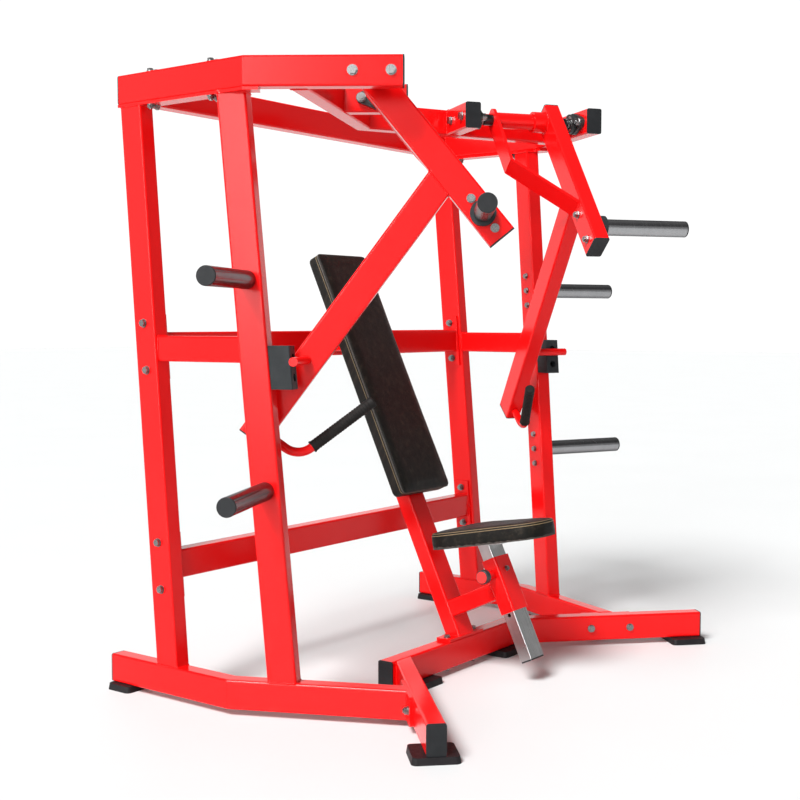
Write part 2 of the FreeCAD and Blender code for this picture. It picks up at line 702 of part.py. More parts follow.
pin_bore = rod(on_pin(sleeve_side - 10), on_pin(sleeve_side + BARREL_LENGTH + 2), LOCK_RADIUS + RUNNING_GAP)
barrel_end = sleeve_side + BARREL_LENGTH
seat_bracket = seat_bracket.cut(pin_bore)
pin_barrel = rod(on_pin(sleeve_side), on_pin(barrel_end), BARREL_RADIUS)
barrel_hollow = rod(on_pin(sleeve_side + BARREL_FLOOR), on_pin(barrel_end - BARREL_LID), BARREL_BORE)
pin_barrel = pin_barrel.cut(barrel_hollow).cut(pin_bore)
lock_pin = rod(on_pin(sleeve_side - PIN_NOSE), on_pin(sleeve_side + PIN_LENGTH), LOCK_RADIUS)
collar_low = sleeve_side + BARREL_FLOOR + STOP_PIN_CLEARANCE
collar_high = sleeve_side + SPRING_SEAT
lock_pin = lock_pin.fuse(rod(on_pin(collar_low), on_pin(collar_high), LOCK_COLLAR))
knob_start = sleeve_side + KNOB_START
knob_end = knob_start + KNOB_LENGTH
knob = rod(on_pin(knob_start), on_pin(knob_end), KNOB_RADIUS)
knob = knob.makeFillet(KNOB_ROUND, [edge for edge in knob.Edges if len(edge.Vertexes) == 1])
knob = knob.fuse(rod(on_pin(knob_start - KNOB_NECK_LENGTH), on_pin(knob_start), KNOB_NECK))
knob = knob.cut(rod(on_pin(sleeve_side), on_pin(sleeve_side + PIN_LENGTH), LOCK_RADIUS))
cap_seat = knob_end - KNOB_CAP_SINK
knob = knob.cut(rod(on_pin(cap_seat), on_pin(knob_end + KNOB_CAP_LENGTH), KNOB_CAP_RADIUS))
knob_cap = rod(on_pin(cap_seat), on_pin(cap_seat + KNOB_CAP_LENGTH), KNOB_CAP_RADIUS)
spring_path = Part.makeHelix(SPRING_PITCH, SPRING_LENGTH, SPRING_RADIUS)
spring_profile = Part.Wire([Part.makeCircle(SPRING_WIRE, Vector(SPRING_RADIUS, 0, 0), Vector(0, 1, 0))])
pin_spring = Part.Wire(spring_path.Edges).makePipeShell([spring_profile], True, True)
spring_turn = FreeCAD.Rotation(UP, ACROSS * -1)
spring_start = on_pin(collar_high + SPRING_WIRE + STOP_PIN_CLEARANCE)
pin_spring.Placement = FreeCAD.Placement(spring_start, spring_turn)

# Set screw on the sleeve's front face
screw_point = sleeve_reference + lean_up * SET_SCREW_RISE
screw_end = screw_point - lean_front * SET_SCREW_REACH
set_screw = hex_bolt(screw_point, screw_end, SET_SCREW)
screw_hole = rod(screw_point + lean_front, screw_end - lean_front * 0.1, SET_SCREW + RUNNING_GAP)
seat_bracket = seat_bracket.cut(screw_hole)

# Seat: post with its lock holes, plate, board and pad
tilt = math.radians(SEAT_TILT)
seat_forward = Vector(0, -math.cos(tilt), math.sin(tilt))
seat_normal = Vector(0, math.sin(tilt), math.cos(tilt))
seat_rear = Vector(0, SEAT_REAR_Y, SEAT_REAR_Z)
seat_post_bottom = (SEAT_POST_BOTTOM_Z - SLEEVE_REFERENCE_Z) / math.cos(lean_angle)
seat_post = tube(sleeve_axis + lean_up * seat_post_bottom, sleeve_axis + lean_up * SEAT_POST_REACH,
                 ACROSS, lean_front, SEAT_POST_WIDTH, SEAT_POST_DEPTH, TUBE_WALL, 3.0)
for index in range(SEAT_HOLES):
    hole = pin_line - lean_up * (index * SEAT_HOLE_PITCH)
    seat_post = seat_post.cut(rod(hole, hole - ACROSS * SEAT_POST_WIDTH, LOCK_RADIUS + LOCK_HOLE_GAP))
plate_top = seat_rear - seat_normal * (SEAT_PAD + BOARD)
plate_low = plate_top - seat_normal * SEAT_PLATE
above_start = plate_low + seat_forward * SEAT_PLATE_RUN
above_plate = bar(above_start, above_start + seat_normal * 400, ACROSS, seat_forward, 600, 600, 1.0)
seat_post = seat_post.cut(above_plate)
seat_post_cap = cap(sleeve_axis + lean_up * seat_post_bottom, lean_up * -1,
                    ACROSS, lean_front, SEAT_POST_WIDTH, SEAT_POST_DEPTH)
seat_plate_point = plate_low + seat_forward * SEAT_PLATE_RUN
seat_plate = bar(seat_plate_point, seat_plate_point + seat_normal * SEAT_PLATE,
                 ACROSS, seat_forward, SEAT_PLATE_WIDTH, SEAT_PLATE_LENGTH, SEAT_PLATE_CORNER)
seat_post = seat_post.fuse(seat_plate).removeSplitter()


def seat_slab(low, high, inset):
    """Seat-shaped slab: wide at the rear, round at the front, between two depths below the top."""
    half_rear = SEAT_REAR_WIDTH / 2 - inset
    half_front = SEAT_FRONT_WIDTH / 2 - inset
    outline = []
    for x, run in ((-half_rear, inset), (-half_front, SEAT_LENGTH - inset),
                   (half_front, SEAT_LENGTH - inset), (half_rear, inset)):
        outline.append(seat_rear + seat_forward * run + ACROSS * x - seat_normal * high)
    outline.append(outline[0])
    slab = Part.Face(Part.makePolygon(outline)).extrude(seat_normal * (high - low))
    for corner, at_front in ((SEAT_REAR_CORNER, False), (SEAT_FRONT_CORNER, True)):
        slab = slab.makeFillet(corner - inset, seat_corner_edges(slab, at_front))
    return slab


def seat_corner_edges(slab, at_front):
    """The two sharp corner edges at the front or at the rear of a seat slab."""
    chosen = []
    for edge in slab.Edges:
        if len(edge.Vertexes) != 2 or edge.Curve.TypeId != "Part::GeomLine":
            continue
        way = (edge.Vertexes[1].Point - edge.Vertexes[0].Point).normalize()
        run = (edge.CenterOfMass - seat_rear).dot(seat_forward)
        half_width = abs(edge.CenterOfMass.x)
        rear_corner = run < SEAT_LENGTH / 4 and half_width > SEAT_REAR_WIDTH / 2 - 5
        front_corner = run > SEAT_LENGTH * 3 / 4 and half_width > SEAT_FRONT_WIDTH / 2 - 5
        if abs(way.dot(seat_normal)) > 0.999 and (front_corner if at_front else rear_corner):
            chosen.append(edge)
    return chosen


seat_pad = seat_slab(0.0, SEAT_PAD, 0.0)
seat_board = seat_slab(SEAT_PAD, SEAT_PAD + BOARD, BOARD_INSET)

# Back pad and board on the leaning post's front face
back_low = (BACK_BOTTOM_Z - base_top_z - (BACK_PAD + BOARD) * math.sin(lean_angle)) / math.cos(lean_angle)
back_high = back_low + BACK_LENGTH
back_board = lean_bar(bar, back_low + BOARD_INSET, back_high - BOARD_INSET, -BOARD / 2,
                      BACK_WIDTH - 2 * BOARD_INSET, BOARD, corner=2.0)
back_pad = lean_bar(bar, back_low, back_high, -BOARD - BACK_PAD / 2, BACK_WIDTH, BACK_PAD, corner=BACK_CORNER)

# Pivot of the press arms
pivot_face = top_bend + top_way * PIVOT_RUN + UP * PIVOT_Z
inward = top_out * -1
weight_angle = math.radians(WEIGHT_ANGLE)
press_angle = math.radians(PRESS_ANGLE)
weight_way = top_way * math.cos(weight_angle) - UP * math.sin(weight_angle)
weight_up = top_way * math.sin(weight_angle) + UP * math.cos(weight_angle)
press_way = top_way * -math.cos(press_angle) - UP * math.sin(press_angle)
press_up = top_way * -math.sin(press_angle) + UP * math.cos(press_angle)
arm_middle = ARM_GAP + TUBE_WIDTH / 2
arm_inner = ARM_GAP + TUBE_WIDTH


def arm_point(along, depth, raise_by=0.0):
    """Point on the arm: along the weight tube, in from the top rail's outer face, and across the tube."""
    return pivot_face + weight_way * along + inward * depth + weight_up * raise_by


def bearing_housing(centre, away):
    """Two-bolt oval flange housing that stands on a face."""
    big = BEARING_CENTRE_RADIUS
    small = BEARING_EAR_RADIUS
    tangent = math.asin((big - small) / BEARING_BOLT_OFFSET)
    points = []
    for side_way, side_up in ((1, 1), (-1, 1), (-1, -1), (1, -1)):
        near = centre + top_way * (side_way * big * math.sin(tangent))
        near = near + UP * (side_up * big * math.cos(tangent))
        far = centre + top_way * (side_way * (BEARING_BOLT_OFFSET + small * math.sin(tangent)))
        far = far + UP * (side_up * small * math.cos(tangent))
        points.extend([far, near] if side_way == side_up else [near, far])
    points.append(points[0])
    body = Part.Face(Part.makePolygon(points)).extrude(away * BEARING_FLANGE)
    body = body.fuse(rod(centre, centre + away * BEARING_FLANGE, big))
    body = body.fuse(rod(centre, centre + away * BEARING_BOSS, BEARING_BOSS_RADIUS))
    for side in (-1, 1):
        place = centre + top_way * (side * BEARING_BOLT_OFFSET)
        body = body.fuse(rod(place, place + away * BEARING_FLANGE, small))
        body = body.cut(rod(place - away, place + away * BEARING_BOSS, BEARING_BOLT + STOP_PIN_CLEARANCE))
    body = body.removeSplitter()
    return body.cut(rod(centre - away, centre + away * 2 * BEARING_BOSS, INSERT_RADIUS + THREAD_GAP))


def bearing_insert(centre, away):
    """Ball bearing insert: its outer ring in the housing and its inner ring on the shaft."""
    seal_floor = centre + away * (INSERT_OUT - SEAL_DEPTH)
    body = rod(centre + away * INSERT_IN, centre + away * INSERT_OUT, INSERT_RADIUS)
    body = body.cut(ring(seal_floor, centre + away * (INSERT_OUT + 1), SEAL_RADIUS, SHAFT_RADIUS))
    body = body.fuse(rod(seal_floor, centre + away * INSERT_NOSE, SHAFT_RADIUS))
    return body.cut(rod(centre, centre + away * 2 * INSERT_NOSE, JOURNAL_RADIUS + RUNNING_GAP))


outer_bearing_face = pivot_face + inward * TUBE_WIDTH
inner_bearing_face = pivot_face + inward * INNER_BEAM_GAP
bearing_housings = [bearing_housing(outer_bearing_face, inward), bearing_housing(inner_bearing_face, top_out)]
bearing_inserts = [bearing_insert(outer_bearing_face, inward), bearing_insert(inner_bearing_face, top_out)]
for side in (-1, 1):
    place = pivot_face + top_way * (side * BEARING_BOLT_OFFSET)
    add_bolt(place, inward, TUBE_WIDTH + BEARING_FLANGE, BEARING_BOLT)
    far_place = place + inward * (INNER_BEAM_GAP + TUBE_WIDTH)
    add_bolt(far_place, top_out, TUBE_WIDTH + BEARING_FLANGE, BEARING_BOLT)

# Right press arm
shoulder_depths = (TUBE_WIDTH + SHOULDER_INSET, INNER_BEAM_GAP - SHOULDER_INSET)
journal_depths = (TUBE_WIDTH + JOURNAL_INSET, INNER_BEAM_GAP - JOURNAL_INSET)
pivot_shaft = rod(*[pivot_face + inward * depth for depth in shoulder_depths], SHAFT_RADIUS)
journal_ends = [pivot_face + inward * depth for depth in journal_depths]
pivot_shaft = pivot_shaft.fuse(rod(*journal_ends, JOURNAL_RADIUS))
shaft_hole = rod(*[pivot_face + inward * depth for depth in journal_depths], SHAFT_RADIUS + THREAD_GAP)

weight_start = arm_point(-WEIGHT_ABOVE + CAP_FLANGE, arm_middle)
weight_end = arm_point(WEIGHT_BELOW - CAP_FLANGE, arm_middle)
weight_envelope = bar(weight_start, weight_end, top_out, weight_up)
weight_tube = tube(weight_start, weight_end, top_out, weight_up).cut(shaft_hole)
horn_bolts = []
for side in (-1, 1):
    head = arm_point(HORN_PLACE + side * HORN_BOLT_OFFSET, ARM_GAP)
    tip = head + inward * (TUBE_WIDTH + HORN_BOLT_TAIL)
    horn_bolts.append(hex_bolt(head, tip, FRAME_BOLT))
    weight_tube = weight_tube.cut(rod(head - inward * 3, tip, FRAME_BOLT + RUNNING_GAP))
    horn_bolts.append(nut(arm_point(HORN_PLACE + side * HORN_BOLT_OFFSET, arm_inner), inward, FRAME_BOLT))

press_join = arm_point(PRESS_JOIN, arm_middle)
press_end = press_join + press_way * (PRESS_LENGTH - CAP_FLANGE)
press_envelope = bar(press_join, press_end, top_out, press_up)
press_tube = tube(press_join, press_end, top_out, press_up)

stop_face = front_upright_at(STOP_PIN_Z) + base_way * (TUBE_HEIGHT / 2 + STOP_DEPTH)
stop_normal = base_out.cross(front_lean).normalize()
if stop_normal.dot(base_way) < 0:
    stop_normal = stop_normal * -1
pin_outer = stop_face + stop_normal * (PIN_RADIUS + STOP_PIN_CLEARANCE) + base_out * STOP_PIN_OVERHANG
pin_reach = (pin_outer - pivot_face).dot(top_out) + ARM_GAP + PIN_RADIUS
pin_root = pin_outer - base_out * (pin_reach / base_out.dot(top_out))
stop_pin = rod(pin_root, pin_outer, PIN_RADIUS)
press_tube = press_tube.cut(weight_envelope).fuse(stop_pin).removeSplitter()

# Bent strap and hub between the weight tube and the shaft's inner end
strap_low = -STRAP_WIDTH / 2
bend_angle = math.atan2(STRAP_DEPTH - STRAP_THICK / 2 - arm_inner, STRAP_END - STRAP_BEND)
bend_shift = STRAP_THICK / 2 * math.tan(bend_angle / 2)
slant_length = STRAP_THICK / math.sin(bend_angle)
strap_near = STRAP_DEPTH - STRAP_THICK / 2
strap_far = STRAP_DEPTH + STRAP_THICK / 2
strap_toe = STRAP_END - bend_shift
strap_outline = ((STRAP_TOP, strap_near), (STRAP_BEND - bend_shift, strap_near), (strap_toe, arm_inner),
                 (strap_toe + slant_length, arm_inner), (STRAP_BEND + bend_shift, strap_far),
                 (STRAP_TOP, strap_far))
strap_points = [arm_point(along, depth, strap_low) for along, depth in strap_outline]
strap_points.append(strap_points[0])
strap = Part.Face(Part.makePolygon(strap_points)).extrude(weight_up * STRAP_WIDTH)
top_corners = []
for edge in strap.Edges:
    middle = edge.CenterOfMass - pivot_face
    way = (edge.Vertexes[1].Point - edge.Vertexes[0].Point).normalize()
    if abs(way.dot(inward)) > 0.99 and middle.dot(weight_way) < -30:
        top_corners.append(edge)
strap = strap.makeFillet(STRAP_CORNER, top_corners)
hub = rod(pivot_face + inward * arm_inner, pivot_face + inward * (STRAP_DEPTH - STRAP_THICK / 2), HUB_RADIUS)
boss = rod(pivot_face + inward * arm_inner, pivot_face + inward * (arm_inner + BOSS_LENGTH), BOSS_RADIUS)
pivot_bracket = strap.fuse(hub).fuse(boss).removeSplitter().cut(shaft_hole)

def horn(base, way, length, relief):
    """Steel plate-loading horn, turned down over its relief at the root, and its tip's cap."""
    tip = base + way * (length - HORN_CAP)
    body = rod(base - way, base + way * relief, HORN_RELIEF_RADIUS)
    body = body.fuse(rod(base + way * relief, tip, HORN_RADIUS)).removeSplitter()
    body = body.cut(rod(base + way * HORN_ROOT, tip + way, HORN_RADIUS - HORN_WALL))
    plug = rod(tip, tip + way * HORN_CAP, HORN_RADIUS)
    circles = [edge for edge in plug.Edges if len(edge.Vertexes) == 1]
    rim = [edge for edge in circles if (edge.CenterOfMass - tip).dot(way) > 1.0]
    plug = plug.makeFillet(HORN_CAP_ROUND, rim)
    plug = plug.fuse(rod(tip, tip - way * CAP_PLUG, HORN_RADIUS - HORN_WALL - CAP_GAP))
    return body, plug


# Weight horn, its rubber collar, and the storage horns
weight_horn, weight_horn_cap = horn(arm_point(HORN_PLACE, ARM_GAP), top_out, HORN_LENGTH, COLLAR_LENGTH + 1.0)
weight_horn = weight_horn.cut(weight_envelope)
collar_end = arm_point(HORN_PLACE, ARM_GAP - COLLAR_LENGTH)
collar_bore = HORN_RELIEF_RADIUS + RUNNING_GAP
horn_collar = ring(arm_point(HORN_PLACE, ARM_GAP), collar_end, COLLAR_RADIUS, collar_bore)
storage_horns = []
storage_caps = []
for base in horn_bases:
    body, plug = horn(base, base_out, STORAGE_LENGTH, STORAGE_RELIEF)
    storage_horns.append(body.cut(front_upright_bar(bar)))
    storage_caps.append(plug)

# Handle: a bent round tube from the press tube's lower end, with a rubber grip
def side_point(run, depth, height):
    """Point by its run along the top rail's front part, its depth inward and its height."""
    return top_bend + top_way * run + inward * depth + UP * height


handle_start = side_point(*HANDLE_START)
handle_corner = side_point(*HANDLE_CORNER)
grip_end = side_point(*GRIP_END)
first_way = (handle_corner - handle_start).normalize()
second_way = (grip_end - handle_corner).normalize()
turn = math.acos(first_way.dot(second_way))
tangent_length = HANDLE_BEND * math.tan(turn / 2)
arc_start = handle_corner - first_way * tangent_length
arc_end = handle_corner + second_way * tangent_length
bisector = (second_way - first_way).normalize()
arc_centre = handle_corner + bisector * (HANDLE_BEND / math.cos(turn / 2))
arc_middle = arc_centre - bisector * HANDLE_BEND
grip_start = handle_corner + second_way * GRIP_START
handle_tip = grip_end - second_way * GRIP_END_WALL
handle_path = Part.Wire([Part.LineSegment(handle_start, arc_start).toShape(),
                         Part.Arc(arc_start, arc_middle, arc_end).toShape(),
                         Part.LineSegment(arc_end, handle_tip).toShape()])
handle_profile = Part.Wire([Part.makeCircle(HANDLE_RADIUS, handle_start, first_way)])
handle = handle_path.makePipeShell([handle_profile], True, False).cut(press_envelope)
grip = rod(grip_start, grip_end, GRIP_RADIUS)
grip_rim = [edge for edge in grip.Edges if len(edge.Vertexes) == 1]
grip_rim = [edge for edge in grip_rim if (edge.CenterOfMass - grip_end).Length < 1.0]
grip = grip.makeFillet(GRIP_ROUND, grip_rim)
grip = grip.fuse(rod(grip_start, grip_start + second_way * GRIP_RIM_LENGTH, GRIP_RADIUS + GRIP_RIM))
grip = grip.cut(rod(grip_start - second_way, handle_tip, HANDLE_RADIUS + THREAD_GAP))

arm_caps = [cap(weight_start, weight_way * -1, top_out, weight_up),
            cap(weight_end, weight_way, top_out, weight_up),
            cap(press_end, press_way, top_out, press_up),
            weight_horn_cap]

# End caps and feet of the frame
top_front_middle = top_bend - top_out * (TUBE_WIDTH / 2) + top_way * (TOP_FRONT_RUN - CAP_FLANGE)
inner_front_middle = top_bend + inward * (INNER_BEAM_GAP + TUBE_WIDTH / 2)
inner_front_middle = inner_front_middle + top_way * (TOP_FRONT_RUN - CAP_FLANGE)
rail_middle = UP * (TOP_RAIL_Z + TUBE_HEIGHT / 2)
base_rear_middle = Vector(BASE_HALF_WIDTH - TUBE_WIDTH / 2, BASE_REAR_Y - CAP_FLANGE, tube_middle_z)
top_rear_middle = Vector(TOP_HALF_WIDTH - TUBE_WIDTH / 2, TOP_REAR_Y - CAP_FLANGE, 0) + rail_middle
leg_end_middle = leg_end - leg_way * CAP_FLANGE + UP * tube_middle_z
frame_caps = both([cap(top_front_middle + rail_middle, top_way, top_out, UP),
                   cap(inner_front_middle + rail_middle, top_way, top_out, UP),
                   cap(base_rear_middle, FORWARD * -1, ACROSS, UP),
                   cap(top_rear_middle, FORWARD * -1, ACROSS, UP),
                   cap(leg_end_middle, leg_way, leg_back, UP),
                   cap(front_tube_end, ACROSS, FORWARD, UP)])
frame_caps.append(post_cap)
frame_caps.extend(both(storage_caps))


def foot(centre, across, way, width, length):
    """Rubber foot with sloped sides, from the floor to the underside of a tube."""
    low = rounded_wire(centre, across, way, width, length, FOOT_CORNER)
    top = centre + UP * FOOT_HEIGHT
    high = rounded_wire(top, across, way, width - FOOT_TAPER, length - FOOT_TAPER, FOOT_CORNER - 2)
    return Part.makeLoft([low, high], True)


rear_foot_centre = Vector(BASE_HALF_WIDTH - TUBE_WIDTH / 2, REAR_FOOT_Y, 0)
tube_foot_centre = Vector(TUBE_FOOT_X, FRONT_TUBE_Y + TUBE_WIDTH / 2, 0)
feet = both([foot(rear_foot_centre, ACROSS, FORWARD, *REAR_FOOT),
             foot(leg_end - leg_way * LEG_FOOT_SETBACK, leg_back, leg_way, *LEG_FOOT),
             foot(tube_foot_centre, ACROSS, FORWARD, *TUBE_FOOT)])

# Write every node
os.makedirs("parts", exist_ok=True)
export_pair("base_rail", drilled(base_rail))
export_pair("front_leg", drilled(front_leg))
export_pair("rear_upright", drilled(rear_upright))
export_pair("front_upright", drilled(front_upright))
export_group("side_braces", both([side_brace]))
export_pair("top_rail", drilled(top_rail))
export_group("top_plates", both([drilled(top_plate)]))
export_group("inner_beams", both([drilled(inner_beam)]))
export_group("storage_horns", both([drilled(body) for body in storage_horns]))
export_group("stop_blocks", both([drilled(stop_block)]))
all_holes = both(drill_holes)
export("front_base_tube", drilled(front_tube, all_holes))
export("rear_top_beam", rear_top_beam)
export("middle_cross_beam", drilled(middle_beam, all_holes))
export("lower_cross_beam", drilled(lower_beam, all_holes))
export("top_front_vee", top_vee)
export("back_post", drilled(back_post, all_holes))
export("seat_bracket", seat_bracket)
export_group("frame_bolts", both(frame_bolts) + [set_screw])
export_group("frame_nuts", both(frame_nuts))
export_group("frame_end_caps", frame_caps)
export_group("rubber_feet", feet)
export_group("bearing_housings", both(bearing_housings))
export_group("bearing_inserts", both(bearing_inserts))
export("pin_barrel", pin_barrel)
export("lock_pin", lock_pin)
export("lock_pin_knob", knob)
export("lock_pin_knob_cap", knob_cap)
export("lock_pin_spring", pin_spring)
export("seat_post", seat_post)
export("seat_post_cap", seat_post_cap)
export("seat_board", seat_board)
export("seat_pad", seat_pad)
export("back_board", back_board)
export("back_pad", back_pad)
export_pair("pivot_shaft", pivot_shaft)
export_pair("weight_tube", weight_tube)
export_pair("press_tube", press_tube)
export_pair("pivot_bracket", pivot_bracket)
export_pair("weight_horn", weight_horn)
export_pair("horn_collar", horn_collar)
export_pair("handle", handle)
export_pair("handle_grip", grip)
for side_name, turn_over in (("right_", False), ("left_", True)):
    bolts = [mirrored(shape) if turn_over else shape for shape in horn_bolts]
    caps = [mirrored(shape) if turn_over else shape for shape in arm_caps]
    export_group(side_name + "horn_bolts", bolts)
    export_group(side_name + "arm_caps", caps)
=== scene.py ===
import bpy
import math
import random
import numpy as np
from mathutils import Matrix, Vector
from mathutils.bvhtree import BVHTree


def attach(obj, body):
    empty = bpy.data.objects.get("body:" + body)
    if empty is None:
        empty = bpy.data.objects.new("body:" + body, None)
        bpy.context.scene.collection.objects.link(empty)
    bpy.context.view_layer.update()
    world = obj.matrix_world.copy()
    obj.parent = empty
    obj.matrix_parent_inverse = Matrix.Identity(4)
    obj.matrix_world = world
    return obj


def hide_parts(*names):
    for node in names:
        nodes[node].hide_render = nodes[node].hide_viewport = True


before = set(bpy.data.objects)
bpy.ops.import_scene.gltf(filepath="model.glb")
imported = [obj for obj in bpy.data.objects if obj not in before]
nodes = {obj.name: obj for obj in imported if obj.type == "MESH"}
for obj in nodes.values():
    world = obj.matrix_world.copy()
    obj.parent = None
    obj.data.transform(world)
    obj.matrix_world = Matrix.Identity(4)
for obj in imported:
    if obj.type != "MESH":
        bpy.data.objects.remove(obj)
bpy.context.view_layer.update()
random.seed(7)

# Layout of the machine, in metres. X is across, -Y is the front, and the right side is +X.
MIDDLE_Y = 0.0047
TUBE_TALL = 0.080
TUBE_WIDE = 0.050
FLOOR_GAP = 0.018
BASE_TOP = 0.098
TOP_MIDDLE = 1.690
LEAN = math.radians(25)
BASE_SPLAY = math.radians(25)
TOP_SPLAY = math.radians(35.2)
LEG_SPLAY = math.radians(45.9)
WEIGHT_ANGLE = math.radians(50.8)
PRESS_ANGLE = math.radians(53.5)
VEE_ANGLE = math.radians(24.9)
VEE_FRONT_Y = 0.240 + MIDDLE_Y
UPRIGHT_TOP = 1.642
REAR_TOP_Y = 0.4795 + MIDDLE_Y
RAIL_BEND = Vector((0.777, 0.120 + MIDDLE_Y, 0))
SIDE_BRACE_Z = 0.975
BRACE_WIDE = 0.040
BRACE_TALL = 0.070
CROSS_BEAM_Z = (0.375, 0.980)
END_PLATE = 0.008
LEG_PLATE = 0.010
INNER_BEAM_DEPTH = 0.415
REAR_BEAM_END_X = 0.720
ARM_DEPTH = 0.114
ARM_FACE_DEPTH = ARM_DEPTH + TUBE_WIDE
HUB_DEPTH = 0.335
PRESS_JOIN = 0.311
SIDES = (("right", 1), ("left", -1))

UP = Vector((0, 0, 1))
ACROSS = Vector((1, 0, 0))
BACKWARD = Vector((0, 1, 0))
LEAN_UP = Vector((0, math.sin(LEAN), math.cos(LEAN)))
LEAN_FRONT = Vector((0, -math.cos(LEAN), math.sin(LEAN)))


def inward_way(splay):
    """Level direction that runs to the front and turns in, on the right side."""
    return Vector((-math.sin(splay), -math.cos(splay), 0))


def outward(splay):
    """Level normal of the same direction, pointing away from the machine."""
    return Vector((math.cos(splay), -math.sin(splay), 0))


base_way = inward_way(BASE_SPLAY)
base_out = outward(BASE_SPLAY)
top_way = inward_way(TOP_SPLAY)
top_out = outward(TOP_SPLAY)
weight_way = top_way * math.cos(WEIGHT_ANGLE) - UP * math.sin(WEIGHT_ANGLE)
weight_up = top_way * math.sin(WEIGHT_ANGLE) + UP * math.cos(WEIGHT_ANGLE)
press_way = top_way * -math.cos(PRESS_ANGLE) - UP * math.sin(PRESS_ANGLE)
top_bend = Vector((0.770, 0.053 + MIDDLE_Y, 0))
pivot = top_bend + top_way * 0.332 + UP * TOP_MIDDLE


def arm_point(along, depth, raise_by=0.0):
    """Point on the right arm: along its weight tube, in from the top rail's face, and across the tube."""
    return pivot + weight_way * along - top_out * depth + weight_up * raise_by


# Materials
def material(name, rough=0.5, metal=0.0):
    """New material with its nodes, links, shader and object coordinates."""
    made = bpy.data.materials.new(name)
    made.use_nodes = True
    tree = made.node_tree
    shader = tree.nodes["Principled BSDF"]
    shader.inputs["Roughness"].default_value = rough
    shader.inputs["Metallic"].default_value = metal
    place = tree.nodes.new("ShaderNodeTexCoord")
    return made, tree, shader, place.outputs["Object"]


def mapping(tree, source, scale=(1, 1, 1), turn=(0, 0, 0)):
    """Coordinates turned and then stretched."""
    first = tree.nodes.new("ShaderNodeMapping")
    first.inputs["Rotation"].default_value = turn
    tree.links.new(source, first.inputs["Vector"])
    second = tree.nodes.new("ShaderNodeMapping")
    second.inputs["Scale"].default_value = scale
    tree.links.new(first.outputs["Vector"], second.inputs["Vector"])
    return second.outputs["Vector"]


def noise(tree, source, scale, detail=3.0, rough=0.5):
    node = tree.nodes.new("ShaderNodeTexNoise")
    node.inputs["Scale"].default_value = scale
    node.inputs["Detail"].default_value = detail
    node.inputs["Roughness"].default_value = rough
    tree.links.new(source, node.inputs["Vector"])
    return node.outputs["Fac"]


def ramp(tree, factor, stops):
    """Colour ramp; each stop is a position and a colour or a grey."""
    node = tree.nodes.new("ShaderNodeValToRGB")
    points = node.color_ramp.elements
    while len(points) < len(stops):
        points.new(0.5)
    for point, (position, value) in zip(points, stops):
        colour = (value, value, value) if isinstance(value, float) else value
        point.position = position
        point.color = (*colour, 1)
    tree.links.new(factor, node.inputs["Fac"])
    return node.outputs["Color"]


def drive(tree, shader, socket, factor, stops):
    """Link a ramp of a factor to one socket of the shader."""
    tree.links.new(ramp(tree, factor, stops), shader.inputs[socket])


def bump(tree, shader, heights):
    """Chain of bumps; each is a height, a distance in metres and a strength."""
    last = None
    for height, distance, strength in heights:
        node = tree.nodes.new("ShaderNodeBump")
        node.inputs["Distance"].default_value = distance
        node.inputs["Strength"].default_value = strength
        tree.links.new(height, node.inputs["Height"])
        if last is not None:
            tree.links.new(last, node.inputs["Normal"])
        last = node.outputs["Normal"]
    tree.links.new(last, shader.inputs["Normal"])


def paint_material():
    """Glossy red powder coat with orange peel and faint handling marks."""
    made, tree, shader, place = material("red_powder_coat")
    broad = noise(tree, place, 3.0, 3.0)
    reds = [(0.3, (0.70, 0.0030, 0.0035)), (0.7, (0.75, 0.0045, 0.0050))]
    drive(tree, shader, "Base Color", broad, reds)
    smears = noise(tree, place, 30.0, 4.0, 0.6)
    drive(tree, shader, "Roughness", smears, [(0.35, 0.17), (0.7, 0.21)])
    shader.inputs["Specular IOR Level"].default_value = 0.24
    peel = noise(tree, place, 420.0, 2.0)
    waves = noise(tree, place, 90.0, 2.0)
    bump(tree, shader, [(peel, 0.0004, 0.06), (waves, 0.0006, 0.03)])
    return made


def plastic_material(name, dark, light, rough, grain, gloss=0.5):
    """Moulded plastic or rubber with a fine spark texture and slight dust."""
    made, tree, shader, place = material(name, rough)
    dust = noise(tree, place, 14.0, 5.0, 0.6)
    drive(tree, shader, "Base Color", dust, [(0.3, dark), (0.75, light)])
    marks = noise(tree, place, 60.0, 5.0, 0.7)
    drive(tree, shader, "Roughness", marks, [(0.3, rough - 0.08), (0.7, rough + 0.10)])
    shader.inputs["Specular IOR Level"].default_value = gloss
    grains = noise(tree, place, grain, 2.0)
    dents = noise(tree, place, 30.0, 2.0)
    bump(tree, shader, [(grains, 0.0004, 0.30), (dents, 0.0008, 0.06)])
    return made


def steel_material(name, dark, light, rough, stretch=(1, 1, 1), turn=0.0, lines=900.0, edge=1.0):
    """Metal with fine turning or drawing lines along one direction and faint smudges."""
    made, tree, shader, place = material(name, rough, 1.0)
    shader.inputs["Specular Tint"].default_value = (edge, edge, edge, 1)
    lined = mapping(tree, place, stretch, (0, 0, turn))
    streaks = noise(tree, lined, lines, 2.0, 0.6)
    cloud = noise(tree, place, 22.0, 5.0, 0.6)
    mix = tree.nodes.new("ShaderNodeMix")
    mix.data_type = "RGBA"
    mix.inputs["Factor"].default_value = 0.5
    tree.links.new(ramp(tree, cloud, [(0.3, dark), (0.7, light)]), mix.inputs[6])
    tree.links.new(ramp(tree, streaks, [(0.3, dark), (0.7, light)]), mix.inputs[7])
    tree.links.new(mix.outputs[2], shader.inputs["Base Color"])
    drive(tree, shader, "Roughness", streaks, [(0.25, rough - 0.05), (0.75, rough + 0.06)])
    bump(tree, shader, [(streaks, 0.0002, 0.06)])
    return made


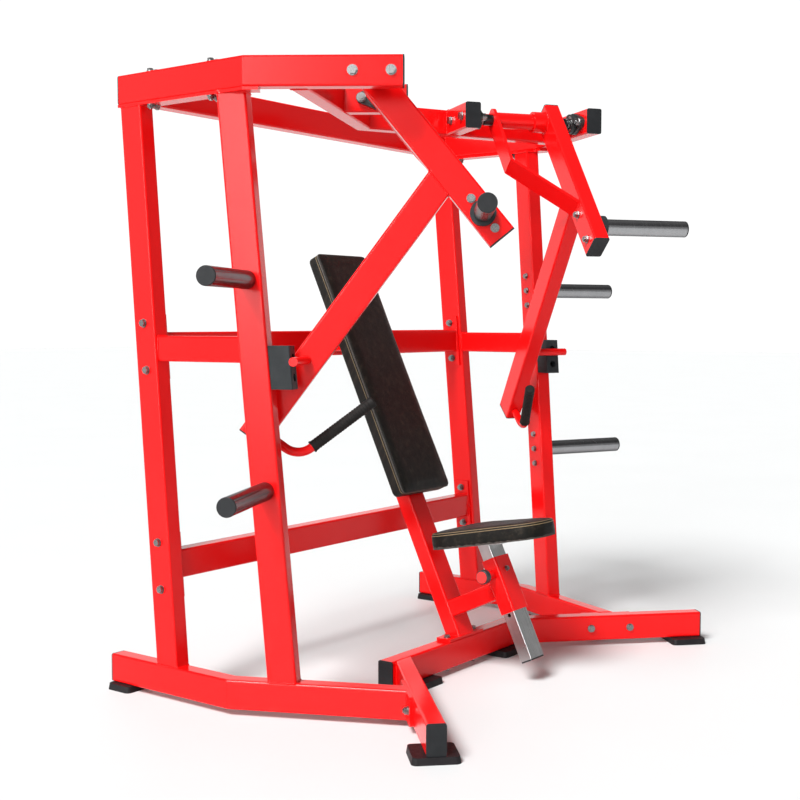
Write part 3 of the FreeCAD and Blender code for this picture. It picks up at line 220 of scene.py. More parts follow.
def vinyl_material(name, turn, stretch, gloss):
    """Grained upholstery vinyl, black with brown streaks along one direction."""
    made, tree, shader, place = material(name, 0.5)
    run = mapping(tree, place, stretch, turn)
    streaks = noise(tree, run, 60.0, 6.0, 0.62)
    blacks = [(0.30, (0.004, 0.0045, 0.0042)), (0.55, (0.009, 0.008, 0.0065))]
    brown = (0.80, (0.032, 0.026, 0.019))
    drive(tree, shader, "Base Color", streaks, blacks + [brown])
    drive(tree, shader, "Roughness", streaks, [(0.3, 0.50), (0.8, 0.38)])
    shader.inputs["Specular IOR Level"].default_value = gloss
    cells = tree.nodes.new("ShaderNodeTexVoronoi")
    cells.feature = "DISTANCE_TO_EDGE"
    cells.inputs["Scale"].default_value = 620.0
    tree.links.new(place, cells.inputs["Vector"])
    pebbles = ramp(tree, cells.outputs["Distance"], [(0.0, 0.0), (0.25, 1.0)])
    creases = noise(tree, place, 25.0, 3.0)
    bump(tree, shader, [(pebbles, 0.0004, 0.35), (streaks, 0.0005, 0.20), (creases, 0.0015, 0.08)])
    return made


def wood_material(name):
    """Black-stained plywood with its plies and grain."""
    made, tree, shader, place = material(name, 0.7)
    grain = noise(tree, mapping(tree, place, (12, 1, 12)), 40.0, 6.0, 0.6)
    drive(tree, shader, "Base Color", grain, [(0.3, (0.012, 0.010, 0.009)), (0.7, (0.04, 0.03, 0.022))])
    bump(tree, shader, [(grain, 0.0006, 0.4)])
    return made


def thread_material(name, dark, light):
    """Twisted sewing thread or piping."""
    made, tree, shader, place = material(name, 0.6)
    twist = noise(tree, place, 700.0, 2.0)
    drive(tree, shader, "Base Color", twist, [(0.3, dark), (0.7, light)])
    bump(tree, shader, [(twist, 0.0004, 0.5)])
    return made


def horn_steel(name, dark, light, turn):
    """Plated steel of a plate horn, with drawing lines along its length."""
    return steel_material(name, dark, light, 0.22, (1.0, 0.01, 0.01), turn, 700.0, 0.35)


paint = paint_material()
cap_plastic = plastic_material("black_cap_plastic", (0.008, 0.009, 0.010), (0.017, 0.018, 0.020),
                               0.45, 700.0, 0.22)
foot_rubber = plastic_material("foot_rubber", (0.006, 0.005, 0.006), (0.014, 0.012, 0.013), 0.55, 500.0, 0.2)
stop_rubber = plastic_material("stop_rubber", (0.013, 0.016, 0.018), (0.024, 0.027, 0.029), 0.55, 450.0, 0.25)
knob_plastic = plastic_material("knob_plastic", (0.012, 0.012, 0.013), (0.028, 0.028, 0.030), 0.40, 600.0)
knob_red = plastic_material("red_knob_plastic", (0.62, 0.02, 0.02), (0.80, 0.04, 0.035), 0.30, 300.0)
cast_black = plastic_material("black_casting", (0.008, 0.009, 0.009), (0.026, 0.027, 0.028), 0.45, 240.0)
bearing_steel = steel_material("bearing_steel", 0.20, 0.45, 0.30)
bolt_zinc = steel_material("zinc_plate", 0.17, 0.32, 0.27, lines=500.0)
wire_steel = steel_material("spring_wire", 0.30, 0.55, 0.30)
post_steel = steel_material("plated_seat_post", 0.40, 0.55, 0.30, (1.0, 0.02, 0.02), lines=400.0)
shaft_black = steel_material("black_oxide_shaft", (0.030, 0.030, 0.032), (0.075, 0.075, 0.080), 0.35)
storage_steel = horn_steel("storage_horn_steel", (0.29, 0.29, 0.30), (0.38, 0.38, 0.39), -BASE_SPLAY)
weight_steel = {}
for side, sign in SIDES:
    weight_steel[side] = horn_steel(side + "_weight_horn_steel", (0.33, 0.33, 0.34), (0.43, 0.43, 0.44),
                                    sign * TOP_SPLAY)
grip_foam = plastic_material("grip_rubber", (0.006, 0.005, 0.005), (0.016, 0.014, 0.013), 0.68, 380.0, 0.2)
back_vinyl = vinyl_material("back_vinyl", (-LEAN, 0, 0), (1.0, 1.0, 0.10), 0.2)
seat_vinyl = vinyl_material("seat_vinyl", (0, 0, 0), (0.12, 1.0, 1.0), 0.08)
board_wood = wood_material("stained_plywood")
tan_thread = thread_material("tan_thread", (0.12, 0.080, 0.035), (0.26, 0.18, 0.09))
dull_thread = thread_material("dull_tan_thread", (0.09, 0.065, 0.030), (0.18, 0.135, 0.070))
# Grey cord on the back cushion's front edge: partly real piping, partly a painted highlight, its lighter grey
# standing in for light caught on the rounded edge
grey_piping_and_painted_highlight_thread = thread_material("grey_piping_and_painted_highlight", (0.035, 0.032, 0.028), (0.075, 0.070, 0.060))

PAINTED = ("base_rail", "front_leg", "upright", "side_braces", "top_plates", "top_rail", "inner_beams",
           "front_base_tube", "rear_top_beam", "cross_beam", "top_front_vee", "back_post", "seat_bracket",
           "weight_tube", "press_tube", "pivot_bracket", "handle", "pin_barrel")
FINISHES = (("seat_post_cap", cap_plastic), ("end_caps", cap_plastic), ("arm_caps", cap_plastic),
            ("rubber_feet", foot_rubber), ("stop_blocks", stop_rubber), ("horn_collar", stop_rubber),
            ("lock_pin_knob_cap", knob_red), ("lock_pin_knob", knob_plastic), ("lock_pin_spring", wire_steel),
            ("lock_pin", bolt_zinc), ("bearing_housings", cast_black), ("bearing_inserts", bearing_steel),
            ("bolts", bolt_zinc), ("nuts", bolt_zinc), ("seat_post", post_steel),
            ("pivot_shaft", shaft_black), ("storage_horns", storage_steel), ("board", board_wood),
            ("grip", grip_foam), ("back_pad", back_vinyl), ("seat_pad", seat_vinyl))


def finish_of(name):
    """Material of a CAD node by its name."""
    if name.endswith("weight_horn"):
        return weight_steel[name.split("_")[0]]
    for key, made in FINISHES:
        if key in name:
            return made
    if any(key in name for key in PAINTED):
        return paint
    raise ValueError("no finish for " + name)


for name, thing in nodes.items():
    made = finish_of(name)
    if not thing.material_slots:
        thing.data.materials.append(made)
    for holder in thing.material_slots:
        holder.material = made


def new_mesh(name, points, faces, made, smooth=True):
    """Mesh object in the machine's own frame."""
    data = bpy.data.meshes.new(name)
    data.from_pydata([tuple(point) for point in points], [], faces)
    data.update()
    thing = bpy.data.objects.new(name, data)
    bpy.context.scene.collection.objects.link(thing)
    data.materials.append(made)
    if smooth:
        data.polygons.foreach_set("use_smooth", [True] * len(data.polygons))
    return thing


def resample(path, step, closed):
    """Points at even steps along a polyline."""
    line = list(path) + [path[0]] if closed else list(path)
    lengths = [(b - a).length for a, b in zip(line, line[1:])]
    total = sum(lengths)
    count = max(3, round(total / step))
    result = []
    index = 0
    walked = 0.0
    for number in range(count if closed else count + 1):
        wanted = total * number / count
        while index < len(lengths) - 1 and walked + lengths[index] < wanted:
            walked += lengths[index]
            index += 1
        share = (wanted - walked) / max(lengths[index], 1e-9)
        result.append(line[index].lerp(line[index + 1], min(max(share, 0.0), 1.0)))
    return result


def sweep(path, radius_at, closed, sides=8):
    """Points and faces of a round section carried along a path."""
    points = []
    faces = []
    count = len(path)
    side_way = None
    for number, here in enumerate(path):
        before = path[number - 1] if closed or number else here
        after = path[(number + 1) % count] if closed or number < count - 1 else here
        way = (after - before).normalized()
        if side_way is None:
            side_way = way.orthogonal().normalized()
        side_way = (side_way - way * side_way.dot(way)).normalized()
        other = way.cross(side_way)
        radius = radius_at(number)
        for step in range(sides):
            angle = 2 * math.pi * step / sides
            points.append(here + (side_way * math.cos(angle) + other * math.sin(angle)) * radius)
    for number in range(count if closed else count - 1):
        following = (number + 1) % count
        for step in range(sides):
            nxt = (step + 1) % sides
            row = number * sides
            next_row = following * sides
            faces.append((row + step, next_row + step, next_row + nxt, row + nxt))
    if not closed:
        faces.append(tuple(range(sides)))
        faces.append(tuple((count - 1) * sides + step for step in reversed(range(sides))))
    return points, faces


class Welds:
    """Rippled weld beads of one body, gathered into one mesh."""

    RADIUS = 0.0026
    STEP = 0.0018
    RIPPLE = 4

    def __init__(self):
        self.points = []
        self.faces = []

    def bead(self, path, closed):
        line = resample(path, self.STEP, closed)
        points, faces = sweep(line, self.radius, closed, 6)
        start = len(self.points)
        self.points.extend(points)
        self.faces.extend(tuple(index + start for index in face) for face in faces)

    def radius(self, number):
        ripple = 0.16 * math.sin(2 * math.pi * number / self.RIPPLE)
        return self.RADIUS * (1.0 + ripple + random.uniform(-0.05, 0.05))

    def rectangle(self, centre, across, up, width, height):
        corner = 0.005
        path = []
        for a, b in ((1, 1), (-1, 1), (-1, -1), (1, -1)):
            point = centre + across * (a * width / 2) + up * (b * height / 2)
            along_up = point - up * (b * corner)
            along_across = point - across * (a * corner)
            path.extend([along_up, along_across] if a == b else [along_across, along_up])
        self.bead(path, True)

    def sides(self, centre, across, up, width, height):
        for a in (-1, 1):
            edge = centre + across * (a * width / 2)
            self.bead([edge - up * (height / 2), edge + up * (height / 2)], False)

    def circle(self, centre, across, up, radius):
        path = []
        turns = 24
        for step in range(turns):
            angle = 2 * math.pi * step / turns
            path.append(centre + across * (radius * math.cos(angle)) + up * (radius * math.sin(angle)))
        self.bead(path, True)

    def build(self, name, body):
        thing = new_mesh(name, self.points, self.faces, paint)
        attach(thing, body)


def flipped(vector, sign):
    """A right-hand point or direction on either side of the machine."""
    return Vector((vector.x * sign, vector.y, vector.z))


# Line of each upright's outer face
rear_low = Vector((0.777, 0.350 + MIDDLE_Y, BASE_TOP))
rear_high = Vector((0.770, REAR_TOP_Y, UPRIGHT_TOP))
front_low = RAIL_BEND + UP * BASE_TOP + base_way * 0.153
front_high = Vector((0.757, 0.107 + MIDDLE_Y, UPRIGHT_TOP))


def on_line(low, high, height):
    return low + (high - low) * ((height - low.z) / (high.z - low.z))


# Weld beads of the frame
vee_way = Vector((math.cos(VEE_ANGLE), -math.sin(VEE_ANGLE), 0))
vee_front = Vector((0, VEE_FRONT_Y, TOP_MIDDLE))
vee_apex = vee_front + BACKWARD * (TUBE_WIDE / 2 / math.cos(VEE_ANGLE))
leg_way = Vector((math.sin(LEG_SPLAY), -math.cos(LEG_SPLAY), 0))
leg_back = Vector((math.cos(LEG_SPLAY), math.sin(LEG_SPLAY), 0))
leg_start = Vector((0.321, -0.1295 + MIDDLE_Y, FLOOR_GAP + TUBE_TALL / 2))


def crossing(point_a, way_a, point_b, way_b):
    """Where two level lines cross."""
    cross = way_a.x * way_b.y - way_a.y * way_b.x
    gap = point_b - point_a
    return point_a + way_a * ((gap.x * way_b.y - gap.y * way_b.x) / cross)


frame_welds = Welds()
for side, sign in SIDES:
    def place(point):
        return flipped(point, sign)

    rear_foot = rear_low - ACROSS * (TUBE_WIDE / 2)
    rear_head = rear_high - ACROSS * (TUBE_WIDE / 2)
    front_foot = front_low - base_out * (TUBE_WIDE / 2)
    front_head = front_high - base_out * (TUBE_WIDE / 2)
    frame_welds.rectangle(place(rear_foot), ACROSS, BACKWARD, TUBE_WIDE, TUBE_TALL)
    frame_welds.rectangle(place(rear_head), ACROSS, BACKWARD, TUBE_WIDE, TUBE_TALL)
    frame_welds.rectangle(place(front_foot), place(base_out), place(base_way), TUBE_WIDE, TUBE_TALL)
    frame_welds.rectangle(place(front_head), place(base_out), place(base_way), TUBE_WIDE, TUBE_TALL)
    brace_rear = on_line(rear_low, rear_high, SIDE_BRACE_Z) - ACROSS * (TUBE_WIDE / 2)
    brace_front = on_line(front_low, front_high, SIDE_BRACE_Z) - base_out * (TUBE_WIDE / 2)
    brace_way = (brace_front - brace_rear).normalized()
    brace_start = brace_rear + brace_way * (TUBE_TALL / 2 / abs(brace_way.y))
    brace_end = brace_front - brace_way * (TUBE_TALL / 2 / abs(brace_way.dot(base_way)))
    frame_welds.rectangle(place(brace_start), ACROSS, UP, BRACE_WIDE, BRACE_TALL)
    frame_welds.rectangle(place(brace_end), place(base_out), UP, BRACE_WIDE, BRACE_TALL)
    for height in CROSS_BEAM_Z:
        beam_end = on_line(rear_low, rear_high, height) - ACROSS * (TUBE_WIDE + END_PLATE)
        frame_welds.rectangle(place(beam_end), BACKWARD, UP, TUBE_WIDE, TUBE_TALL)
    rear_beam_end = Vector((REAR_BEAM_END_X, REAR_TOP_Y, TOP_MIDDLE))
    frame_welds.rectangle(place(rear_beam_end), BACKWARD, UP, TUBE_WIDE, TUBE_TALL)
    rail_inner = top_bend - top_out * TUBE_WIDE
    vee_end = crossing(vee_apex, vee_way, rail_inner, top_way)
    vee_end.z = TOP_MIDDLE
    vee_cut = TUBE_WIDE / abs(vee_way.dot(top_out))
    frame_welds.rectangle(place(vee_end), place(top_way), UP, vee_cut, TUBE_TALL)
    inner_line = top_bend - top_out * (INNER_BEAM_DEPTH + TUBE_WIDE / 2)
    inner_start = crossing(vee_front, vee_way, inner_line, top_way)
    inner_start.z = TOP_MIDDLE
    frame_welds.rectangle(place(inner_start), place(vee_way), UP, vee_cut, TUBE_TALL)
    frame_welds.sides(place(leg_start), ACROSS, UP, TUBE_WIDE / math.cos(LEG_SPLAY), TUBE_TALL - 0.012)
    plate_line = leg_start + leg_back * (TUBE_WIDE / 2 + LEG_PLATE)
    rail_line = RAIL_BEND - base_out * (TUBE_WIDE / 2)
    rail_end = crossing(rail_line, base_way, plate_line, leg_way)
    rail_end.z = FLOOR_GAP + TUBE_TALL / 2
    rail_cut = TUBE_WIDE / abs(base_way.dot(leg_back))
    frame_welds.sides(place(rail_end), place(leg_way), UP, rail_cut, TUBE_TALL - 0.014)

post_face = Vector((0, -0.134 + MIDDLE_Y, BASE_TOP))
post_foot = post_face + LEAN_UP * (END_PLATE / math.cos(LEAN)) + BACKWARD * (TUBE_WIDE / 2 / math.cos(LEAN))
frame_welds.rectangle(post_foot, ACROSS, BACKWARD, TUBE_TALL, TUBE_WIDE / math.cos(LEAN))
bracket_start = post_face + LEAN_UP * 0.096
sleeve_front = Vector((0, -0.278 + MIDDLE_Y, 0.300))
bracket_run = (sleeve_front - post_face).dot(LEAN_FRONT) - TUBE_WIDE
frame_welds.rectangle(bracket_start, ACROSS, LEAN_UP, TUBE_TALL - 0.006, TUBE_WIDE)
frame_welds.rectangle(bracket_start + LEAN_FRONT * bracket_run, ACROSS, LEAN_UP, TUBE_TALL - 0.006, TUBE_WIDE)
frame_welds.build("frame_welds", "frame")

# Weld beads of the arms
for side, sign in SIDES:
    welds = Welds()
    def turned(direction):
        return flipped(direction, sign)

    join = arm_point(PRESS_JOIN, ARM_DEPTH + TUBE_WIDE / 2)
    reach = -TUBE_TALL / 2 / press_way.dot(weight_up)
    under = join + press_way * reach
    length = TUBE_TALL / abs(press_way.dot(weight_up))
    welds.rectangle(turned(under), turned(top_out), turned(weight_way), TUBE_WIDE, length)
    boss = arm_point(0.0, ARM_FACE_DEPTH)
    welds.circle(turned(boss), turned(weight_way), turned(weight_up), 0.0335)
    hub = arm_point(0.0, HUB_DEPTH)
    welds.circle(turned(hub), turned(weight_way), turned(weight_up), 0.0255)
    for along in (0.3725, 0.3875):
        middle = arm_point(along, ARM_FACE_DEPTH)
        ends = [turned(middle + weight_up * reach_up) for reach_up in (-0.028, 0.028)]
        welds.bead(ends, False)
    welds.build(side + "_arm_welds", side + "_arm")


# Cushions
def offset_outline(outline, inset):
    """Outline moved inward by an inset, with the outline given anticlockwise."""
    result = []
    count = len(outline)
    for number, (x, y) in enumerate(outline):
        before = outline[number - 1]
        after = outline[(number + 1) % count]
        way_x = after[0] - before[0]
        way_y = after[1] - before[1]
        size = math.hypot(way_x, way_y)
        result.append((x - way_y / size * inset, y + way_x / size * inset))
    return result


def rounded_outline(corners, radii, steps=9, spacing=0.012):
    """Anticlockwise outline of a convex polygon, with a radius for each of its corners."""
    result = []
    count = len(corners)
    for number, corner in enumerate(corners):
        here = Vector(corner)
        to_before = (Vector(corners[number - 1]) - here).normalized()
        to_after = (Vector(corners[(number + 1) % count]) - here).normalized()
        half = math.acos(max(-1.0, min(1.0, to_before.dot(to_after)))) / 2
        centre = here + (to_before + to_after).normalized() * (radii[number] / math.sin(half))
        start = here + to_before * (radii[number] / math.tan(half)) - centre
        sweep_angle = math.pi - 2 * half
        for step in range(steps):
            turn = sweep_angle * step / (steps - 1)
            x = start.x * math.cos(turn) - start.y * math.sin(turn)
            y = start.x * math.sin(turn) + start.y * math.cos(turn)
            result.append((centre.x + x, centre.y + y))
    dense = []
    for number, (x, y) in enumerate(result):
        after = result[(number + 1) % len(result)]
        parts = max(1, round(math.hypot(after[0] - x, after[1] - y) / spacing))
        for part in range(parts):
            share = part / parts
            dense.append((x + (after[0] - x) * share, y + (after[1] - y) * share))
    return dense


BOARD = 0.011
THREAD_STEP = 0.004


class Cushion:
    """Upholstered pad whose cover wraps its board, with an outline in its own plane."""

    UNDER = 0.0015
    SLACK = 0.003
    START_INSET = 0.001
    SMOOTHING = 12
    VOXEL = 0.005
    HELD_SHARE = 0.6
    LAST_FRAME = 20

    def __init__(self, name, origin, axes, outline, thickness, edge, under_edge, vinyl):
        self.name = name
        self.origin = origin
        self.axes = Matrix(axes).transposed()
        self.outline = outline
        self.thickness = thickness
        self.edge = edge
        self.under_edge = under_edge
        self.vinyl = vinyl
        self.low = self.UNDER - BOARD

    def at(self, x, y, height):
        return self.origin + self.axes @ Vector((x, y, height))

    def rings(self):
        """Insets and heights of the starting shape, from its underside to the rounded front edge."""
        low = self.low
        top = self.thickness - self.SLACK
        rings = []
        for step in range(5):
            turn = math.pi / 2 * step / 4
            inset = self.START_INSET + self.under_edge * (1 - math.sin(turn))
            rings.append((inset, low + self.under_edge * (1 - math.cos(turn))))
        for step in range(5):
            turn = math.pi / 2 * step / 4
            inset = self.START_INSET + self.edge * (1 - math.cos(turn))
            rings.append((inset, top - self.edge * (1 - math.sin(turn))))
        return rings

    def loft(self, name, rings, made):
        """Closed solid through outlines, each given by its inset and its height."""
        points = []
        faces = []
        count = len(self.outline)
        for inset, height in rings:
            points.extend(self.at(x, y, height) for x, y in offset_outline(self.outline, inset))
        for ring in range(len(rings) - 1):
            for number in range(count):
                after = (number + 1) % count
                low = ring * count
                high = low + count
                faces.append((low + number, low + after, high + after, high + number))
        faces.append(tuple(reversed(range(count))))
        faces.append(tuple((len(rings) - 1) * count + number for number in range(count)))
        return new_mesh(name, points, faces, made)

    def build(self, pressure, cap, seams):
        """Swell the shape by cloth simulation, held flat on its board, then press its seams in."""
        thing = self.loft(self.name, self.rings(), self.vinyl)
        bpy.context.view_layer.objects.active = thing
        remesh = thing.modifiers.new("remesh", "REMESH")
        remesh.mode = "VOXEL"
        remesh.voxel_size = self.VOXEL
        remesh.use_smooth_shade = True
        self.apply(thing)
        self.simulate(thing, pressure, cap)
        smooth = thing.modifiers.new("smooth", "SUBSURF")
        smooth.levels = 1
        smooth.render_levels = 1
        self.apply(thing)
        for inset, height, depth, width in seams:
            self.press(thing, inset, height, depth, width)
        thing.data.polygons.foreach_set("use_smooth", [True] * len(thing.data.polygons))
        if not thing.data.materials:
            thing.data.materials.append(self.vinyl)
        self.surface = BVHTree.FromObject(thing, bpy.context.evaluated_depsgraph_get())
        return thing

    def apply(self, thing):
        """Replace the mesh by what its modifiers make of it."""
        graph = bpy.context.evaluated_depsgraph_get()
        made = bpy.data.meshes.new_from_object(thing.evaluated_get(graph))
        thing.modifiers.clear()
        thing.data = made

    def height(self, point):
        return (self.axes.transposed() @ (point - self.origin)).z

    def simulate(self, thing, pressure, cap):
        rest = np.array([vertex.co for vertex in thing.data.vertices])
        held = thing.vertex_groups.new(name="held")
        for vertex in thing.data.vertices:
            if self.height(vertex.co) < self.thickness * self.HELD_SHARE:
                held.add([vertex.index], 1.0, "REPLACE")
        cloth = thing.modifiers.new("cloth", "CLOTH")
        settings = cloth.settings
        settings.vertex_group_mass = "held"
        settings.use_pressure = True
        settings.uniform_pressure_force = pressure
        settings.effector_weights.gravity = 0.0
        settings.tension_stiffness = 40.0
        settings.compression_stiffness = 40.0
        settings.shear_stiffness = 20.0
        settings.bending_stiffness = 4.0
        settings.quality = 4
        cloth.point_cache.frame_start = 1
        cloth.point_cache.frame_end = self.LAST_FRAME
        for number in range(1, self.LAST_FRAME + 1):
            bpy.context.scene.frame_set(number)
        self.apply(thing)
        moves = np.array([vertex.co for vertex in thing.data.vertices]) - rest
        length = np.linalg.norm(moves, axis=1, keepdims=True)
        moves *= np.minimum(1.0, cap / np.maximum(length, 1e-9))
        moves = self.evened(thing.data, moves)
        thing.data.vertices.foreach_set("co", (rest + moves).ravel())
        thing.data.update()
        bpy.context.scene.frame_set(1)

    def evened(self, mesh, moves):
        """Moves averaged with their neighbours', so the cover stays taut without wrinkles."""
        ends = np.array([edge.vertices[:] for edge in mesh.edges])
        count = np.bincount(ends.ravel(), minlength=len(moves))[:, None]
        for number in range(self.SMOOTHING):
            total = np.zeros_like(moves)
            np.add.at(total, ends[:, 0], moves[ends[:, 1]])
            np.add.at(total, ends[:, 1], moves[ends[:, 0]])
            moves = moves * 0.4 + total / count * 0.6
        return moves

    def press(self, thing, inset, height, depth, width):
        """Pull the cover in along a seam that runs round the edge."""
        seam = [self.at(x, y, height) for x, y in offset_outline(self.outline, inset)]
        line = resample(seam, THREAD_STEP, True)
        links = [(i, (i + 1) % len(line), i) for i in range(len(line))]
        tree = BVHTree.FromPolygons([tuple(point) for point in line], links)
        points = np.array([vertex.co for vertex in thing.data.vertices])
        normals = np.array([vertex.normal for vertex in thing.data.vertices])
        pulls = np.zeros(len(points))
        for number, point in enumerate(points):
            near = tree.find_nearest(Vector(point), width)
            if near[0] is not None:
                share = 1.0 - near[3] / width
                pulls[number] = depth * share * share * (3 - 2 * share)
        points -= normals * pulls[:, None]
        thing.data.vertices.foreach_set("co", points.ravel())
        thing.data.update()

    def thread(self, name, made, radius, height, body):
        """Line of thread laid on the side of the cover at a height, found by rays from outside."""
        line = []
        count = len(self.outline)
        for number, (x, y) in enumerate(self.outline):
            before = self.outline[number - 1]
            after = self.outline[(number + 1) % count]
            out = Vector((after[1] - before[1], before[0] - after[0], 0)).normalized()
            aim = self.axes @ (out * -1.0)
            hit = self.surface.ray_cast(self.at(x, y, height) - aim * 0.05, aim)[0]
            if hit is not None:
                line.append(hit)
        path = resample(line, THREAD_STEP, True)
        points, faces = sweep(path, lambda number: radius, True, 8)
        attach(new_mesh(name, points, faces, made), body)


def cushion_piece(cushion, seams, pressure, cap, body, node):
    """Build a cushion in place of its plain pad."""
    thing = cushion.build(pressure, cap, seams)
    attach(thing, body)
    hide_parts(node)


BACK_WIDTH = 0.246
BACK_LENGTH = 0.804
BACK_PAD = 0.042
BACK_CORNER = 0.017
BACK_LOW_Z = 0.5364
BACK_REAR_SEAM = BACK_PAD - 0.018
BACK_FRONT_SEAM = BACK_PAD - 0.0105
back_low = (BACK_LOW_Z - BASE_TOP - (BACK_PAD + BOARD) * math.sin(LEAN)) / math.cos(LEAN)
back_origin = post_face + LEAN_UP * back_low + LEAN_FRONT * BOARD
half = BACK_WIDTH / 2
back_corners = [(-half, 0), (half, 0), (half, BACK_LENGTH), (-half, BACK_LENGTH)]
back_outline = rounded_outline(back_corners, [BACK_CORNER] * 4)
back = Cushion("back_cushion", back_origin, (ACROSS, LEAN_UP, LEAN_FRONT), back_outline, BACK_PAD,
               0.006, 0.008, back_vinyl)
back_seams = ((0.0, BACK_REAR_SEAM, 0.0014, 0.006), (0.0, BACK_FRONT_SEAM, 0.0010, 0.005))
cushion_piece(back, back_seams, 3.0, 0.005, "frame", "back_pad")
board_rings = ((0.013, -BOARD), (0.012, 0.001 - BOARD), (0.012, 0.005 - BOARD))
back_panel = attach(back.loft("back_cushion_board", board_rings, board_wood), "frame")
back_panel.data.polygons.foreach_set("use_smooth", [False] * len(back_panel.data.polygons))
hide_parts("back_board")
back.thread("back_cushion_rear_thread", dull_thread, 0.0015, BACK_REAR_SEAM, "frame")
# Front piping of the back cushion, in a lighter grey that is partly a painted highlight of the rounded edge
back.thread("back_cushion_front_piping_and_highlight", grey_piping_and_painted_highlight_thread, 0.0024, BACK_FRONT_SEAM, "frame")

SEAT_PAD = 0.039
SEAT_TILT = math.radians(10)
SEAT_LENGTH = 0.339
SEAT_REAR_HALF = 0.1655
SEAT_FRONT_HALF = 0.071
seat_forward = Vector((0, -math.cos(SEAT_TILT), math.sin(SEAT_TILT)))
seat_normal = Vector((0, math.sin(SEAT_TILT), math.cos(SEAT_TILT)))
seat_origin = Vector((0, -0.073 + MIDDLE_Y, 0.4244)) - seat_normal * SEAT_PAD
seat_corners = [(-SEAT_REAR_HALF, 0), (SEAT_REAR_HALF, 0), (SEAT_FRONT_HALF, SEAT_LENGTH),
                (-SEAT_FRONT_HALF, SEAT_LENGTH)]
seat_outline = rounded_outline(seat_corners, (0.053, 0.053, 0.076, 0.076))
seat_axes = (ACROSS * -1.0, seat_forward, seat_normal)
seat = Cushion("seat_cushion", seat_origin, seat_axes, seat_outline, SEAT_PAD, 0.004, 0.002, seat_vinyl)
seat_seams = ((0.003, SEAT_PAD, 0.0016, 0.006), (0.0, SEAT_PAD - 0.0075, 0.0008, 0.007))
cushion_piece(seat, seat_seams, 3.0, 0.004, "seat", "seat_pad")
seat.thread("seat_cushion_upper_thread", tan_thread, 0.0011, SEAT_PAD - 0.0045, "seat")
seat.thread("seat_cushion_lower_thread", tan_thread, 0.0011, SEAT_PAD - 0.0105, "seat")


# Grips: ribbed rubber sleeves with a rounded end and a thicker rim
def side_point(run, depth, height):
    return top_bend + top_way * run - top_out * depth + UP * height


HANDLE_CORNER = side_point(0.125, 0.139, 0.682)
GRIP_END = side_point(0.326, 0.204, 0.831)
GRIP_RADIUS = 0.016
GRIP_RIM = 0.0015
RIB_PITCH = 0.0085
RIB_SHAPE = ((0.0, 0.0002), (0.55, 0.0002), (0.65, 0.0010), (0.9, 0.0010))
END_ROUND = 0.006
grip_way = (GRIP_END - HANDLE_CORNER).normalized()
grip_start = HANDLE_CORNER + grip_way * 0.046
grip_length = (GRIP_END - grip_start).length


def grip_profile():
    """Distances along the grip and radii of its outside."""
    profile = [(0.0, 0.0127), (0.0, GRIP_RADIUS + GRIP_RIM - 0.001), (0.001, GRIP_RADIUS + GRIP_RIM)]
    profile.extend([(0.004, GRIP_RADIUS + GRIP_RIM), (0.006, GRIP_RADIUS - 0.0002)])
    along = 0.010
    while along < grip_length - 0.016:
        for share, dip in RIB_SHAPE:
            profile.append((along + RIB_PITCH * share, GRIP_RADIUS - dip))
        along += RIB_PITCH
    for step in range(9):
        angle = math.pi / 2 * step / 8
        along = grip_length - END_ROUND + END_ROUND * math.sin(angle)
        profile.append((along, GRIP_RADIUS - END_ROUND + END_ROUND * math.cos(angle)))
    profile.append((grip_length, 0.0))
    return profile


for side, sign in SIDES:
    way = flipped(grip_way, sign)
    start = flipped(grip_start, sign)
    across = way.orthogonal().normalized()
    other = way.cross(across)
    profile = grip_profile()
    around = 40
    points = []
    faces = []
    for along, radius in profile:
        for step in range(around):
            angle = 2 * math.pi * step / around
            points.append(start + way * along + (across * math.cos(angle) + other * math.sin(angle)) * radius)
    for ring in range(len(profile) - 1):
        for step in range(around):
            after = (step + 1) % around
            low = ring * around
            faces.append((low + step, low + after, low + around + after, low + around + step))
    thing = new_mesh(side + "_ribbed_grip", points, faces, grip_foam)
    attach(thing, side + "_arm")
    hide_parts(side + "_handle_grip")


# Floor, light and camera
def floor():
    made, tree, shader, place = material("pale_floor", 0.55)
    tone = noise(tree, place, 1.5, 3.0)
    drive(tree, shader, "Base Color", tone, [(0.3, (0.640, 0.649, 0.649)), (0.7, (0.650, 0.659, 0.659))])
    reach = 40.0
    corners = [(-reach, -reach, 0), (reach, -reach, 0), (reach, reach, 0), (-reach, reach, 0)]
    thing = new_mesh("floor", [Vector(corner) for corner in corners], [(0, 1, 2, 3)], made)


floor()

world = bpy.data.worlds.new("studio")
bpy.context.scene.world = world
world.use_nodes = True
tree = world.node_tree
background = tree.nodes["Background"]
direction = tree.nodes.new("ShaderNodeTexCoord").outputs["Generated"]


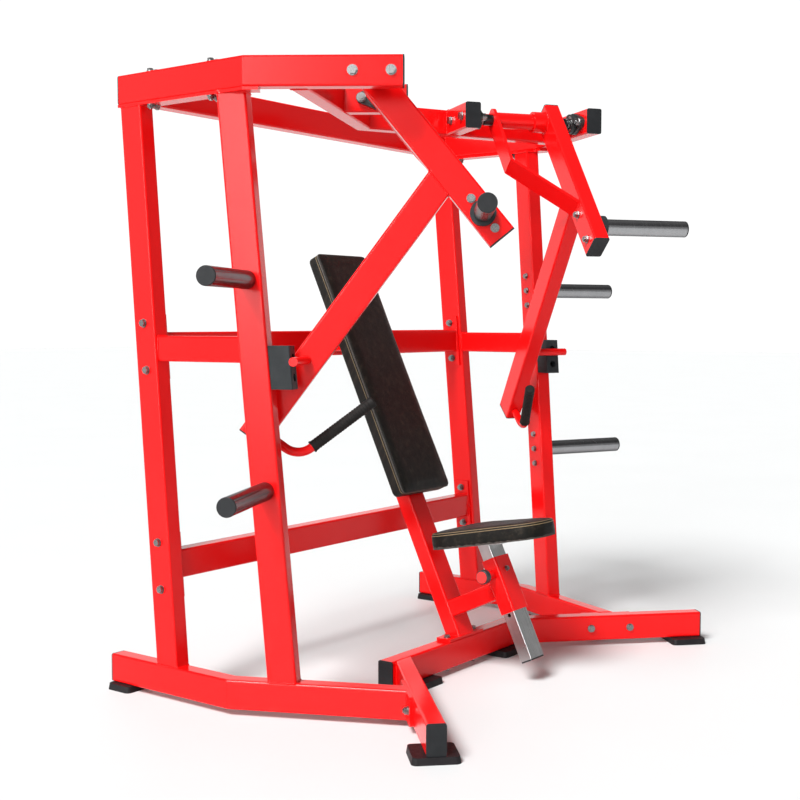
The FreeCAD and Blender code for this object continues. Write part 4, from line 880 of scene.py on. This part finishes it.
def by_direction(way, dot_from, dot_to, low, high):
    """Value that goes from low to high as the direction turns towards a way."""
    facing = tree.nodes.new("ShaderNodeVectorMath")
    facing.operation = "DOT_PRODUCT"
    facing.inputs[1].default_value = Vector(way).normalized()
    tree.links.new(direction, facing.inputs[0])
    shade = tree.nodes.new("ShaderNodeMapRange")
    shade.interpolation_type = "SMOOTHSTEP"
    shade.inputs["From Min"].default_value = dot_from
    shade.inputs["From Max"].default_value = dot_to
    shade.inputs["To Min"].default_value = low
    shade.inputs["To Max"].default_value = high
    tree.links.new(facing.outputs["Value"], shade.inputs["Value"])
    return shade.outputs["Result"]


def combined(operation, first, second):
    node = tree.nodes.new("ShaderNodeMath")
    node.operation = operation
    tree.links.new(first, node.inputs[0])
    tree.links.new(second, node.inputs[1])
    return node.outputs["Value"]


# White round the horizon, a dimmer ceiling, a greyer front of the room and one large soft box on the left
walls = by_direction((0, 0, 1), 0.27, 0.45, 1.06, 0.22)
dark_front = by_direction((0.35, -0.94, 0), 0.2, 0.8, 1.0, 0.38)
soft_box = by_direction((-0.96, -0.23, 0.21), 0.955, 0.985, 0.0, 7.0)
strength = combined("ADD", combined("MULTIPLY", walls, dark_front), soft_box)
background.inputs["Color"].default_value = (1, 1, 1, 1)
tree.links.new(strength, background.inputs["Strength"])

sun_data = bpy.data.lights.new("key", "SUN")
sun_data.energy = 5.2
sun_data.angle = math.radians(22)
sun = bpy.data.objects.new("key", sun_data)
bpy.context.scene.collection.objects.link(sun)
sun.rotation_euler = Vector((0.65, 0.02, -0.76)).to_track_quat("-Z", "Y").to_euler()

camera_data = bpy.data.cameras.new("camera")
camera_data.sensor_width = 36.0
camera_data.lens = 57.828825
camera = bpy.data.objects.new("camera", camera_data)
bpy.context.scene.collection.objects.link(camera)
camera.location = (-3.19575, -2.26444 + MIDDLE_Y, 1.04820)
look = Vector((0.799516, 0.597574, -0.060663))
camera.rotation_euler = look.to_track_quat("-Z", "Y").to_euler()
bpy.context.scene.camera = camera
bpy.context.scene.view_settings.view_transform = "Standard"
